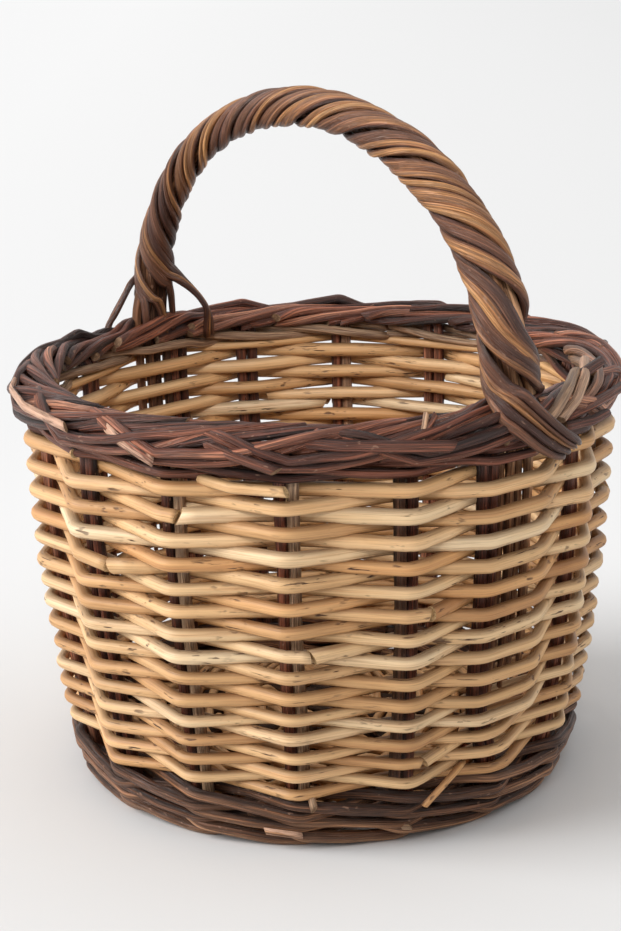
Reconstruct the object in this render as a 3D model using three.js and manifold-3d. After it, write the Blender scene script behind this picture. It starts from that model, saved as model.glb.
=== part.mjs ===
// Fruit picking basket: a round willow basket with a roped bow handle.
// Millimetres. The origin is the middle of the foot, +Z is up, and the handle stands in the XZ plane.
import * as THREE from 'three';
import { mergeVertices } from 'three/addons/utils/BufferGeometryUtils.js';
import Module from 'manifold-3d';

const wasm = await Module();
wasm.setup();
const { Manifold, Mesh } = wasm;

// Rods
const STICK_D = 6.8; // a base stick
const STAKE_D = 5.8; // one rod of an upright pair
const BORDER_ROD_D = 4.9; // the same rod where it thins into the border
const WEAVER_D = 5.4; // a side weaver, halfway up the wall
const BASE_WEAVER_D = 4.6; // a weaver of the base
const FOOT_WALE_D = 6.2; // a rod of the two rounds at the foot
const RIM_WALE_D = 5; // a rod of the round under the border
const ROPE_D = 4.9; // a rod wound round the handle
const GAP = 0.35; // air left between neighbours

// Basket
const STICKS_EACH_WAY = 4; // base sticks laid in each direction of the cross
const WALL_FOOT_R = 121; // stakes, where the wall leaves the bend
const WALL_TOP_R = 137.5; // stakes, under the border
const FOOT_ROUND_RISE = 6.5; // second round at the foot, above the bend
const BEND_R = 12; // stakes, from base to wall
const BASE_TILT = 0.26; // slope of the domed base at its edge, rise over run
const SIDE_RODS = 14; // each side weaver goes round twice
const SIDE_STARTS = [4, 2, 6]; // stakes at the back where the side weavers start in turn
const ROW_GROWTH = 0.15; // the thinner weavers are used first: this share off at the foot, on at the rim
const ROW_AIR = 0.15; // air left between the rows
const FLAT_DEPTH = 0.9; // worn flat under the foot
const STAKE_FOOT_LENGTH = 26; // part of a stake pushed into the base
const STICK_PARE = [12, 4]; // a stick end is pared down between these lengths ahead of the stake's end
const ROD_TAIL = 7; // rod end left past its last stake
const WALE_SLACK = 1.16; // how far a wale rod stands off the stakes, over touching
const STICK_SHORT = 6; // a stick's tip stops this far inside the bend
const BORDER_OUT = 2; // middle of the border, out from the stakes
const BORDER_FLATTEN = [1.25, 0.72]; // the border's section across and up, over a round one
const BORDER_STRANDS = 4; // pairs that would fill the border's section
const BORDER_START = -Math.PI / 4; // a pair comes out low on the border's outer side
const BORDER_SPAN = 2.7; // stake spacings from a pair's bend to its end in the border

// Handle
const HANDLE_RISE = 122.3; // rim of the border to the middle of the bow at its highest
const BOW_D = 9.6; // the bow inside the roping
const BOW_LEG_W = 13; // the bow where it is pared down and runs into the wall
const BOW_TIP_Z = 66; // lower end of the bow's legs
const BOW_TIP_TAPER = 20; // length of the leg's pointed end
const BOW_STEPS = 14; // straight runs in the bow
const ASIDE_FROM_Z = 26; // the stakes beside the bow lean aside from here up
const OPEN_RUN = [9, 26]; // the border opens round the bow, all the way to none, along the rim
const OPEN_THICK = 2.4; // and stands this much further out
const OPEN_HIGH = 4.6; // and higher
const OPEN_SQUEEZE = 0.24; // with its rods drawn together on either side of the bow
const ROPE_COUNT = 8;
const ROPE_TURNS = 5.5;
const ROPE_TURN_STEPS = 6; // straight runs in each turn
const ROPE_LEAN = 0.7; // sideways run of a rope's foot over its drop, as it leaves the bow

const STAKE_R = STAKE_D / 2;
const LOBE = 0.94 * STAKE_R; // middle of a pair to the middle of either rod
const PAIR_HALF = LOBE + STAKE_R;
const BORDER_ROD_R = BORDER_ROD_D / 2;
const ENDS = 4 * STICKS_EACH_WAY; // stick ends, and so stake pairs
const STEP = (2 * Math.PI) / ENDS;
const BASE_WEAVE_IN_R = (STICK_D + BASE_WEAVER_D + 2 * GAP) / (0.77 * STEP); // first round of the base
const ROW_PITCH = WEAVER_D + ROW_AIR;
const SIDE_ROWS = 2 * SIDE_RODS;

const BUFF = { color: 0xcc9e70, roughness: 0.62 };
const BARK = { color: 0x4f362c, roughness: 0.7 };
const FOOT_BARK = { color: 0x5a4034, roughness: 0.7 };
const ROPE_BARK = { color: 0x8a5f3c, roughness: 0.5 };
const STICK_BARK = { color: 0x6b4d36, roughness: 0.75 };

const basket = new THREE.Group();
basket.name = 'fruit_picking_basket';

function add(name, geometry, { color, roughness }) {
  const mesh = new THREE.Mesh(geometry, new THREE.MeshStandardMaterial({ color, roughness, metalness: 0 }));
  mesh.name = name;
  basket.add(mesh);
}

// A rod's path: stations joined by straight runs, each with the direction that faces out of the weave
// and the rod's half width along and through it.
class RodPath extends THREE.Curve {
  constructor(stations) {
    super();
    this.stations = stations;
  }

  getPoint(t, target = new THREE.Vector3()) {
    const place = t * (this.stations.length - 1);
    const i = Math.min(Math.floor(place + 1e-6), this.stations.length - 2);
    return target.lerpVectors(this.stations[i].at, this.stations[i + 1].at, place - i);
  }

  getPointAt(u, target) {
    return this.getPoint(u, target);
  }

  computeFrenetFrames() {
    const spots = this.stations.map((station) => station.at);
    const runs = spots.slice(1).map((spot, i) => spot.clone().sub(spots[i]).normalize());
    const tangents = spots.map((_, i) =>
      new THREE.Vector3().add(runs[Math.max(i - 1, 0)]).add(runs[Math.min(i, runs.length - 1)]).normalize(),
    );
    const across = tangents.map((t, i) => t.clone().cross(this.stations[i].out).normalize());
    const through = tangents.map((t, i) => t.clone().cross(across[i]));
    return {
      tangents,
      normals: across.map((v, i) => v.multiplyScalar(this.stations[i].wide)),
      binormals: through.map((v, i) => v.multiplyScalar(this.stations[i].deep)),
    };
  }
}

function station(at, out, wide, deep = wide) {
  return { at, out, wide, deep };
}

function rod(stations, section) {
  return new THREE.ExtrudeGeometry(section, {
    steps: stations.length - 1,
    extrudePath: new RodPath(stations),
    bevelEnabled: false,
  });
}

// Sections of unit rods: a plain rod with a corner facing out, and two rods side by side.
function roundSection(sides) {
  const corners = Array.from({ length: sides }, (_, i) => {
    const a = (2 * Math.PI * i) / sides - Math.PI / 2;
    return new THREE.Vector2(Math.cos(a), Math.sin(a));
  });
  return new THREE.Shape(corners);
}

function pairSection() {
  const lobe = LOBE / STAKE_R;
  const half = [
    [lobe + 0.95, 0],
    [lobe, 1],
    [0, 0.5],
    [-lobe, 1],
  ];
  const corners = [...half, ...half.map(([x, y]) => [-x, -y])];
  return new THREE.Shape(corners.map(([x, y]) => new THREE.Vector2(x, y)));
}

function solidOf(geometry) {
  const bare = new THREE.BufferGeometry().setAttribute('position', geometry.getAttribute('position'));
  const merged = mergeVertices(bare, 1e-3);
  return new Manifold(
    new Mesh({
      numProp: 3,
      vertProperties: merged.attributes.position.array,
      triVerts: new Uint32Array(merged.index.array),
    }),
  );
}

function geometryOf(solid) {
  const mesh = solid.getMesh();
  return new THREE.BufferGeometry()
    .setAttribute('position', new THREE.BufferAttribute(mesh.vertProperties, 3))
    .setIndex(new THREE.BufferAttribute(mesh.triVerts, 1));
}

// Places round the basket: an angle, a radius and a height, moved sideways along the rim by shift.
function around(angle, r, z, shift = 0) {
  return new THREE.Vector3(
    r * Math.cos(angle) - shift * Math.sin(angle),
    r * Math.sin(angle) + shift * Math.cos(angle),
    z,
  );
}

function facing(angle, nr, nz) {
  return new THREE.Vector3(nr * Math.cos(angle), nr * Math.sin(angle), nz);
}

function smooth(x) {
  const t = Math.min(Math.max(x, 0), 1);
  return t * t * (3 - 2 * t);
}

// Wales: rounds of three rods, each passing outside two stakes and inside the third.
function waleReach(d) {
  return WALE_SLACK * (STAKE_R + d / 2 + GAP);
}

function waleHalf(d) {
  return d / 2 + 0.2;
}

// Profile of the stakes: domed base, bend and wall.
const FOOT_WALE_TILT = Math.PI / 4; // the first round lies under the bend
const FOOT_RISE = waleHalf(FOOT_WALE_D) + FOOT_WALE_D / 2 + ROW_PITCH / 2; // second foot round to first row
const RIM_ROUND_H = 2 * waleHalf(RIM_WALE_D) + RIM_WALE_D + GAP;
const WALL_RISE = FOOT_ROUND_RISE + FOOT_RISE + (SIDE_ROWS - 0.5) * ROW_PITCH + RIM_ROUND_H;
const wallSlope = (2 * (WALL_TOP_R - WALL_FOOT_R)) / WALL_RISE;
const wallAngle = Math.atan2(1, wallSlope);
const baseAngle = -Math.atan(BASE_TILT);
const EDGE_R = WALL_FOOT_R - BEND_R * (Math.sin(wallAngle) - Math.sin(baseAngle));
const BASE_CROWN = (EDGE_R * BASE_TILT) / 2;

const lowestFromEdge =
  BEND_R * (Math.cos(baseAngle) - Math.cos(FOOT_WALE_TILT)) -
  waleReach(FOOT_WALE_D) * Math.cos(FOOT_WALE_TILT) -
  waleHalf(FOOT_WALE_D) * Math.sin(FOOT_WALE_TILT) -
  FOOT_WALE_D / 2;
const EDGE_Z = -lowestFromEdge - FLAT_DEPTH;
const WALL_FOOT_Z = EDGE_Z + BEND_R * (Math.cos(baseAngle) - Math.cos(wallAngle));
const WALL_TOP_Z = WALL_FOOT_Z + WALL_RISE;
const SIDE_FOOT_Z = WALL_FOOT_Z + FOOT_ROUND_RISE + FOOT_RISE - ROW_PITCH / 2;
const RIM_WALE_Z = WALL_TOP_Z - waleHalf(RIM_WALE_D) - RIM_WALE_D / 2;

function baseHeight(r) {
  return EDGE_Z + BASE_CROWN * (1 - (r / EDGE_R) ** 2);
}

function bendAt(angle) {
  return {
    r: EDGE_R + BEND_R * (Math.sin(angle) - Math.sin(baseAngle)),
    z: EDGE_Z + BEND_R * (Math.cos(baseAngle) - Math.cos(angle)),
    nr: Math.sin(angle),
    nz: -Math.cos(angle),
  };
}

function wallAt(z) {
  const left = 1 - (z - WALL_FOOT_Z) / WALL_RISE;
  const slope = wallSlope * left;
  const length = Math.hypot(1, slope);
  return {
    r: WALL_TOP_R - (WALL_TOP_R - WALL_FOOT_R) * left * left,
    z,
    nr: 1 / length,
    nz: -slope / length,
  };
}

// At the two handle stakes the pair stands beside the bow's leg, and the weavers pass both.
const HANDLE_SHIFT = PAIR_HALF + BOW_LEG_W / 2 + GAP;

function holdsHandle(k) {
  return k % (ENDS / 2) === 0;
}

function pairShift(k, z) {
  return holdsHandle(k) ? -HANDLE_SHIFT * smooth((z - ASIDE_FROM_Z) / (BOW_TIP_Z - ASIDE_FROM_Z - GAP)) : 0;
}

function stakeSpots(k, z) {
  if (!holdsHandle(k)) return [0];
  const pair = pairShift(k, z);
  const far = z > BOW_TIP_Z - ROW_PITCH ? BOW_LEG_W / 2 - STAKE_R : pair + LOBE;
  return [pair - LOBE, far];
}

// Offset of a rod past a stake, so that it clears the pair on the way to the other side of the next one.
function reaches(k, r, clear) {
  const across = r * Math.sin(STEP) - (holdsHandle(k + 1) ? HANDLE_SHIFT + PAIR_HALF : 0);
  const sag = r * (1 - Math.cos(STEP));
  let outer = clear;
  let inner = clear;
  for (let i = 0; i < 4; i++) {
    const outerTurn = Math.atan((outer + inner + sag) / across);
    const innerTurn = Math.max(0, Math.atan((outer + inner - sag) / across));
    outer = clear / Math.cos(outerTurn) + LOBE * Math.tan(outerTurn);
    inner = clear / Math.cos(innerTurn) + LOBE * Math.tan(innerTurn);
  }
  return { outer, inner };
}

function woven(k, place, off, d, shift, up = 0) {
  const angle = k * STEP;
  const r = place.r + off * place.nr - up * place.nz;
  const z = place.z + off * place.nz + up * place.nr;
  return station(around(angle, r, z, shift), facing(angle, place.nr, place.nz), d / 2);
}

// Base: a cross of sticks, half of them slit so that the other half pass through.
const CROSS_PITCH = STICK_D + 0.4;
const CROSS_HALF = (STICKS_EACH_WAY / 2) * CROSS_PITCH;
const THREAD_H = 0.72 * STICK_D; // a threaded stick, pared down inside the slits
const SLIT_H = THREAD_H + 2 * GAP;
const SLIT_STICK_H = SLIT_H + 0.95 * STICK_D;
const STICK_TIP_W = 0.5 * STICK_D;
const STICK_TIP_R = EDGE_R - STICK_SHORT;
const STAKE_BUTT_R = EDGE_R - STAKE_FOOT_LENGTH;
const DOWN = new THREE.Vector3(0, 0, -1);

function stickPath(i, turn, middleHeight) {
  const place = i - (STICKS_EACH_WAY - 1) / 2;
  const bend = CROSS_HALF + STICK_D;
  const end = (r, side, wide, high) => {
    const angle = side > 0 ? turn + place * STEP : turn + Math.PI - place * STEP;
    return station(around(angle, r, baseHeight(r)), DOWN, wide / 2, high / 2);
  };
  const inner = (along, high) =>
    station(around(turn, along, baseHeight(CROSS_HALF), place * CROSS_PITCH), DOWN, STICK_D / 2, high / 2);
  const half = (side) => [
    inner(side * CROSS_HALF, middleHeight),
    inner(side * bend, STICK_D),
    end(BASE_WEAVE_IN_R - BASE_WEAVER_D, side, STICK_D, STICK_D),
    end(STAKE_BUTT_R - STICK_PARE[0], side, STICK_D, STICK_D),
    end(STAKE_BUTT_R - STICK_PARE[1], side, STICK_TIP_W, STAKE_D),
    end(STICK_TIP_R, side, STICK_TIP_W, STAKE_D),
  ];
  return [...half(-1).reverse(), ...half(1)];
}

const stickSection = roundSection(6);
const crossTurn = STEP / 2;
const slit = Manifold.cube([2 * CROSS_HALF + 2 * GAP, 3 * CROSS_HALF, SLIT_H], true)
  .rotate([0, 0, THREE.MathUtils.radToDeg(crossTurn)])
  .translate([0, 0, baseHeight(CROSS_HALF)]);
for (let i = 0; i < STICKS_EACH_WAY; i++) {
  const whole = solidOf(rod(stickPath(i, crossTurn, SLIT_STICK_H), stickSection));
  add(`slit_stick_${i + 1}`, geometryOf(whole.subtract(slit)), STICK_BARK);
  const threaded = rod(stickPath(i, crossTurn + Math.PI / 2, THREAD_H), stickSection);
  add(`threaded_stick_${i + 1}`, threaded, STICK_BARK);
}

// Base weave: two weavers chase each other outwards, one over the stick ends that the other goes under.
const weaverSection = roundSection(5);
const baseSection = roundSection(4);
const BASE_PITCH = 2 * (BASE_WEAVER_D + 0.3);

function baseAt(r) {
  const slope = Math.atan((-2 * BASE_CROWN * r) / EDGE_R ** 2);
  return { r, z: baseHeight(r), nr: Math.sin(slope), nz: -Math.cos(slope) };
}

function baseReach(r) {
  const pared = smooth((r - STAKE_BUTT_R + STICK_PARE[0]) / (STICK_PARE[0] - STICK_PARE[1]));
  const clear = STICK_D / 2 + (STAKE_R - STICK_D / 2) * pared + BASE_WEAVER_D / 2 + GAP;
  const turn = Math.asin(Math.min((2 * clear) / (r * STEP), 0.8));
  return clear / Math.cos(turn) + (r > STAKE_BUTT_R ? LOBE * Math.tan(turn) : 0);
}

function baseWeaver(parity) {
  const first = BASE_WEAVE_IN_R + (parity * BASE_PITCH) / 2;
  const count = Math.floor(((EDGE_R - 1.5 * BASE_WEAVER_D - first) / BASE_PITCH) * ENDS);
  return Array.from({ length: count }, (_, k) => {
    const r = first + (BASE_PITCH * k) / ENDS;
    const side = (k + parity) % 2 ? -1 : 1;
    return woven(k, baseAt(r), side * baseReach(r), BASE_WEAVER_D, 0);
  });
}

add('base_weaver_a', rod(baseWeaver(0), baseSection), BUFF);
add('base_weaver_b', rod(baseWeaver(1), baseSection), BUFF);

// Border: each pair is laid over to the right, climbs the outside, crosses the top and ends inside.
const BORDER_R = WALL_TOP_R + BORDER_OUT;
const borderPairHalf = (PAIR_HALF / STAKE_R) * BORDER_ROD_R;
const LOOP = (BORDER_STRANDS * (2 * borderPairHalf + 3 * GAP)) / (2 * Math.PI);
const LOOP_THICK = BORDER_FLATTEN[0] * LOOP;
const LOOP_HIGH = BORDER_FLATTEN[1] * LOOP;
const BORDER_Z = WALL_TOP_Z + LOOP_HIGH + BORDER_ROD_R + 3 * GAP;
const BORDER_TOP_Z = BORDER_Z + LOOP_HIGH + BORDER_ROD_R;

function nearHandle(angle) {
  const along = Math.abs(Math.asin(Math.sin(angle))) * BORDER_R;
  return 1 - smooth((along - OPEN_RUN[0]) / (OPEN_RUN[1] - OPEN_RUN[0]));
}

function borderLoop(angle) {
  const near = nearHandle(angle);
  return {
    thick: LOOP_THICK + OPEN_THICK * near,
    high: LOOP_HIGH + OPEN_HIGH * near,
    squeeze: 1 - OPEN_SQUEEZE * near,
  };
}

function borderStation(k, t) {
  const angle = (k + t) * STEP;
  const { thick, high, squeeze } = borderLoop(angle);
  const turn = BORDER_START + ((2 * Math.PI) / BORDER_STRANDS) * t;
  const middle = turn < Math.PI / 2 ? 0 : Math.PI;
  const lap = middle + (turn - middle) * squeeze;
  const at = around(angle, BORDER_R + thick * Math.cos(lap), BORDER_Z + high * Math.sin(lap));
  return station(at, facing(angle, Math.cos(lap) / thick, Math.sin(lap) / high), BORDER_ROD_R);
}

// Stakes: pairs of rods pushed into the base either side of a stick end, turned up and laid into the border.
// Each kinks sharply at the rim: a pair alone, or beside the bow, which it has to pass.
const KINK_RUN = { alone: 0.17, beside: 0.37 }; // stake spacings from the upright to the first lap
const KINK_DROP = { alone: 2, beside: -1 }; // the corner, below the first lap
const KINK_OUT = 0.35; // the corner's share of the way out to the first lap
const KINK_LEAN = 1.6; // the corner, along the rim
function stakePath(k) {
  const angle = k * STEP;
  const onWall = (z) => {
    const place = wallAt(z);
    return station(around(angle, place.r, z, pairShift(k, z)), facing(angle, place.nr, place.nz), STAKE_R);
  };
  const onBend = (turn) => {
    const place = bendAt(turn);
    return station(around(angle, place.r, place.z), facing(angle, place.nr, place.nz), STAKE_R);
  };
  const butt = baseAt(STAKE_BUTT_R);
  const shift = pairShift(k, WALL_TOP_Z);
  const lead = shift / (BORDER_R * STEP);
  const laid = borderStation(k, lead + (holdsHandle(k) ? KINK_RUN.beside : KINK_RUN.alone));
  const top = onWall(WALL_TOP_Z - BORDER_ROD_R / 2);
  const cornerR = WALL_TOP_R + KINK_OUT * (Math.hypot(laid.at.x, laid.at.y) - WALL_TOP_R);
  const cornerZ = laid.at.z - (holdsHandle(k) ? KINK_DROP.beside : KINK_DROP.alone);
  const corner = around(angle, cornerR, cornerZ, shift + KINK_LEAN);
  const wallHeights = [0.12, 0.4, 0.7].map((part) => WALL_FOOT_Z + part * WALL_RISE);
  const laps = [0.5, 0.9, 1.3, 1.7, 2.2, BORDER_SPAN];
  return [
    station(around(angle, butt.r, butt.z), facing(angle, butt.nr, butt.nz), STAKE_R),
    onBend(baseAngle),
    onBend((baseAngle + wallAngle) / 2),
    onBend(wallAngle),
    ...wallHeights.map(onWall),
    top,
    station(corner, facing(angle, 1, 0), (STAKE_R + BORDER_ROD_R) / 2),
    laid,
    ...laps.map((t) => borderStation(k, t)),
  ];
}

const pair = pairSection();
const stickSlot = [STICK_TIP_R + GAP - STAKE_BUTT_R + STAKE_R, STICK_TIP_W + 2 * GAP, 4 * STAKE_D];
for (let k = 0; k < ENDS; k++) {
  const whole = solidOf(rod(stakePath(k), pair));
  const slot = Manifold.cube(stickSlot, true)
    .translate([STAKE_BUTT_R - STAKE_R + stickSlot[0] / 2, 0, baseHeight(STAKE_BUTT_R)])
    .rotate([0, 0, THREE.MathUtils.radToDeg(k * STEP)]);
  add(`stake_pair_${String(k + 1).padStart(2, '0')}`, geometryOf(whole.subtract(slot)), BARK);
}

// Wales at the foot and under the border. The rods meet end to end at a seam between two stakes.
const WALE_SEAM = Math.round(ENDS / 3);
const waleSection = roundSection(5);

function walePath(j, placeAt, d) {
  const reach = waleReach(d);
  const half = waleHalf(d);
  const atStake = [
    [reach, half],
    [reach, -half],
    [-reach, 0],
  ];
  const between = [
    [0.9 * reach, 0],
    [-0.3 * reach, -half],
    [-0.3 * reach, half],
  ];
  const state = (k) => (k + 3 * ENDS - j) % 3;
  const middle = (k) => woven(k + 0.5, placeAt, between[state(k)][0], d, 0, between[state(k)][1]);
  const path = [middle(WALE_SEAM)];
  for (let k = WALE_SEAM + 1; k <= WALE_SEAM + ENDS; k++) {
    const [off, up] = atStake[state(k)];
    stakeSpots(k, placeAt.z).forEach((shift) => path.push(woven(k, placeAt, off, d, shift, up)));
    path.push(middle(k));
  }
  const first = path[0].at;
  const last = path[path.length - 1].at;
  first.add(path[1].at.clone().sub(first).setLength(2 * GAP));
  last.add(path[path.length - 2].at.clone().sub(last).setLength(2 * GAP));
  return path;
}

const floorSize = 4 * WALL_TOP_R;
const floor = Manifold.cube([floorSize, floorSize, floorSize], true).translate([0, 0, -floorSize / 2]);
for (let j = 0; j < 3; j++) {
  const low = solidOf(rod(walePath(j, bendAt(FOOT_WALE_TILT), FOOT_WALE_D), waleSection));
  const high = rod(walePath(j, wallAt(WALL_FOOT_Z + FOOT_ROUND_RISE), FOOT_WALE_D), waleSection);
  const rim = rod(walePath(j, wallAt(RIM_WALE_Z), RIM_WALE_D), waleSection);
  add(`foot_wale_low_${j + 1}`, geometryOf(low.subtract(floor)), FOOT_BARK);
  add(`foot_wale_high_${j + 1}`, high, FOOT_BARK);
  add(`rim_wale_${j + 1}`, rim, BARK);
}

// Side weave: a rod goes round twice, in and out of the stakes. It passes two stakes on the outside
// where it climbs to its second row, so that the rows keep crossing each other.
function rowEdge(row) {
  return SIDE_FOOT_Z + ROW_PITCH * row * (1 - ROW_GROWTH + (ROW_GROWTH * row) / SIDE_ROWS);
}

function sideWeaver(n) {
  const start = SIDE_STARTS[n % SIDE_STARTS.length];
  const path = [];
  const pass = (i, shift) => {
    const k = start + i;
    const row = 2 * n + (i > ENDS ? 1 : 0);
    const place = wallAt((rowEdge(row) + rowEdge(row + 1)) / 2);
    const d = rowEdge(row + 1) - rowEdge(row) - ROW_AIR;
    const { outer, inner } = reaches(k, place.r, STAKE_R + d / 2 + GAP);
    const off = (k + row) % 2 ? -inner : outer;
    const spots = shift === undefined ? stakeSpots(k, place.z) : [shift];
    spots.forEach((spot) => path.push(woven(k, place, off, d, spot)));
  };
  pass(1, -ROD_TAIL);
  for (let i = 1; i <= 2 * ENDS; i++) pass(i);
  pass(2 * ENDS, ROD_TAIL);
  return path;
}

for (let n = 0; n < SIDE_RODS; n++) {
  add(`side_weaver_${String(n + 1).padStart(2, '0')}`, rod(sideWeaver(n), weaverSection), BUFF);
}

// Handle: a bow pared down where its legs run into the wall, and rods wound along it.
const ARCH_Z = BORDER_TOP_Z + OPEN_HIGH + ROPE_D;
const ARCH_RISE = BORDER_TOP_Z + HANDLE_RISE - ARCH_Z;
const BOW_R = BOW_D / 2;

function archAt(u) {
  const t = Math.PI * u;
  const at = new THREE.Vector3(BORDER_R * Math.cos(t), 0, ARCH_Z + ARCH_RISE * Math.sin(t));
  const out = new THREE.Vector3(ARCH_RISE * Math.cos(t), 0, BORDER_R * Math.sin(t)).normalize();
  return { at, out };
}

function bowPath() {
  const leg = (side) => {
    const angle = side > 0 ? 0 : Math.PI;
    const out = facing(angle, 1, 0);
    const inWall = (z, wide, deep) => station(around(angle, wallAt(z).r, z), out, wide, deep);
    return [
      inWall(BOW_TIP_Z, 0.45 * BOW_LEG_W / 2, 0.5 * STAKE_R),
      inWall(BOW_TIP_Z + BOW_TIP_TAPER, BOW_LEG_W / 2, STAKE_R),
      inWall((BOW_TIP_Z + WALL_TOP_Z) / 2, BOW_LEG_W / 2, STAKE_R),
      inWall(WALL_TOP_Z, BOW_LEG_W / 2, STAKE_R),
      station(around(angle, BORDER_R, BORDER_Z + LOOP_HIGH), out, BOW_LEG_W / 2, 1.1 * STAKE_R),
    ];
  };
  const arch = Array.from({ length: BOW_STEPS + 1 }, (_, i) => {
    const { at, out } = archAt(i / BOW_STEPS);
    return station(at, out, BOW_R);
  });
  return [...leg(1), ...arch, ...leg(-1).reverse()];
}

const ROPE_R = ROPE_D / 2;
const ROPE_STEPS = Math.round(ROPE_TURNS * ROPE_TURN_STEPS);
const WIND_R = (BOW_R + ROPE_R + GAP) / Math.cos((Math.PI * ROPE_TURNS) / ROPE_STEPS);

function ropePath(i) {
  const begin = (2 * Math.PI * (i + 0.5)) / ROPE_COUNT;
  const foot = (turn, side) => {
    const face = Math.cos(turn) > 0 ? 1 : -1;
    const place = (Math.asin(Math.sin(turn)) / (2 * Math.PI)) * ROPE_COUNT;
    const pitch = Math.hypot(1, ROPE_LEAN) * (ROPE_D + GAP);
    const middle = side > 0 ? 0 : Math.PI;
    const { high } = borderLoop(middle);
    const put = (part, up) => {
      const drop = high + BORDER_ROD_D - up;
      const along = side * place * pitch + face * ROPE_LEAN * drop;
      const angle = middle + along / BORDER_R;
      const { thick } = borderLoop(angle);
      const r = BORDER_R + face * part * (thick + BORDER_ROD_D + ROPE_R + GAP);
      return station(around(angle, r, BORDER_Z + up), facing(angle, face, 0.2), ROPE_R);
    };
    return [put(0.97, -high), put(1, 0), put(0.88, 0.85 * high), put(0.64, high + BORDER_ROD_D)];
  };
  const winds = Array.from({ length: ROPE_STEPS + 1 }, (_, step) => {
    const u = step / ROPE_STEPS;
    const { at, out } = archAt(u);
    const turn = begin - 2 * Math.PI * ROPE_TURNS * u;
    const away = out.clone().multiplyScalar(Math.cos(turn)).add(new THREE.Vector3(0, Math.sin(turn), 0));
    return station(at.addScaledVector(away, WIND_R), away, ROPE_R);
  });
  const end = begin - 2 * Math.PI * ROPE_TURNS;
  return [...foot(begin, 1), ...winds, ...foot(end, -1).reverse()];
}

// Least air between one turn of a wound rod and its others, over points at least half a turn apart.
function airBetweenTurns(path) {
  const apart = Math.ceil(ROPE_TURN_STEPS / 2);
  const gaps = path.flatMap((a, i) => path.slice(i + apart).map((b) => a.at.distanceTo(b.at) - ROPE_D));
  return Math.min(...gaps);
}

const ropeSection = roundSection(5);
add('handle_bow', rod(bowPath(), roundSection(6)), ROPE_BARK);
const ropes = Array.from({ length: ROPE_COUNT }, (_, i) => ropePath(i));
ropes.forEach((path, i) => add(`handle_rope_${i + 1}`, rod(path, ropeSection), ROPE_BARK));
console.log(`least gap from a wound rod to itself: ${Math.min(...ropes.map(airBetweenTurns)).toFixed(2)} mm`);

export default basket;
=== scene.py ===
# %% [markdown]
# # A fruit picking basket in willow
# The basket is woven from rods: dark rods in their bark for the uprights, the foot, the border and the
# handle, and peeled buff rods for the side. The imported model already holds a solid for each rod, so this
# lesson rebuilds every rod with its taper, knots, bark and cut ends, in the same place and frame.

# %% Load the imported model
import math
import random

import bmesh
import bpy
from mathutils import Matrix, Vector, noise


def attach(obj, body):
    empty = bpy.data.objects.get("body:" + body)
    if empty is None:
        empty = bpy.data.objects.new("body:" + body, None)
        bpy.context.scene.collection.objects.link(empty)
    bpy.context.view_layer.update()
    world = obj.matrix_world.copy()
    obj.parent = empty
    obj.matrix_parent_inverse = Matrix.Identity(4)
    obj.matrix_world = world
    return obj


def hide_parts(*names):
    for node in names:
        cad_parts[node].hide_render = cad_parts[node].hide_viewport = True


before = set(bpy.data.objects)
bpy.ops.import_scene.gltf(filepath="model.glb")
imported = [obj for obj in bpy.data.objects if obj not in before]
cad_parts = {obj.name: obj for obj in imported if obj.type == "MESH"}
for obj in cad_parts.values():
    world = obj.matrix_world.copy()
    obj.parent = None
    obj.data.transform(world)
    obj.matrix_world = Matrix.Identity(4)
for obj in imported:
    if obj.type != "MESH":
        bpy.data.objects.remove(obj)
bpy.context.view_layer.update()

# Blender starts its vector noise from the clock, so it is given a fixed start here.
noise.seed_set(3)
print("nodes in the frame:", len(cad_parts))

# %% [markdown]
# ## Sizes
# A weaver thinks in rods: how thick each kind is, how many uprights there are and how high the wall goes.
# The same few numbers placed the solids, in millimetres, so the rods made here fall on them. A model could
# also be drawn freely by eye, but then the rods would drift off the solids that they stand for.

# %% Sizes in millimetres
MM = 0.001
GAP = 0.35  # air left between rods that cross
STICK_D = 6.8  # the sticks of the base
BASE_WEAVER_D = 4.6
STAKE_D = 5.8  # the uprights
WEAVER_D = 5.4  # the side
FOOT_WALE_D = 6.2
RIM_WALE_D = 5.0
STICKS_EACH_WAY = 4
SIDE_RODS = 14
ROW_AIR = 0.15  # between one row of the side and the next
WALL_FOOT_R = 121.0
WALL_TOP_R = 137.5
BEND_R = 12.0  # the bend of an upright, from the base into the wall
BASE_TILT = 0.26  # slope of the domed base at its edge
FOOT_ROUND_RISE = 6.5  # from the top of the bend to the foot's upper round
FLAT_DEPTH = 0.9  # worn off under the lowest round
STAKE_FOOT_LENGTH = 26.0  # the part of an upright inside the base
WALE_SLACK = 1.16  # how much wider a wale swings than it has to

STAKE_R = STAKE_D / 2
LOBE = 0.94 * STAKE_R  # half the distance between the two rods of an upright
PAIR_HALF = LOBE + STAKE_R
ENDS = 4 * STICKS_EACH_WAY  # stick ends, with an upright round each
STEP = 2 * math.pi / ENDS
BASE_WEAVE_IN_R = (STICK_D + BASE_WEAVER_D + 2 * GAP) / (0.77 * STEP)
ROW_PITCH = WEAVER_D + ROW_AIR
SIDE_ROWS = 2 * SIDE_RODS
print(f"{ENDS} uprights and {SIDE_ROWS} rows of the side")

# %% Heights that follow from them
FOOT_WALE_TILT = math.pi / 4
WALE_AIR = 0.2


def wale_reach(d):
    return WALE_SLACK * (STAKE_R + d / 2 + GAP)


def wale_half(d):
    return d / 2 + WALE_AIR


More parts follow.
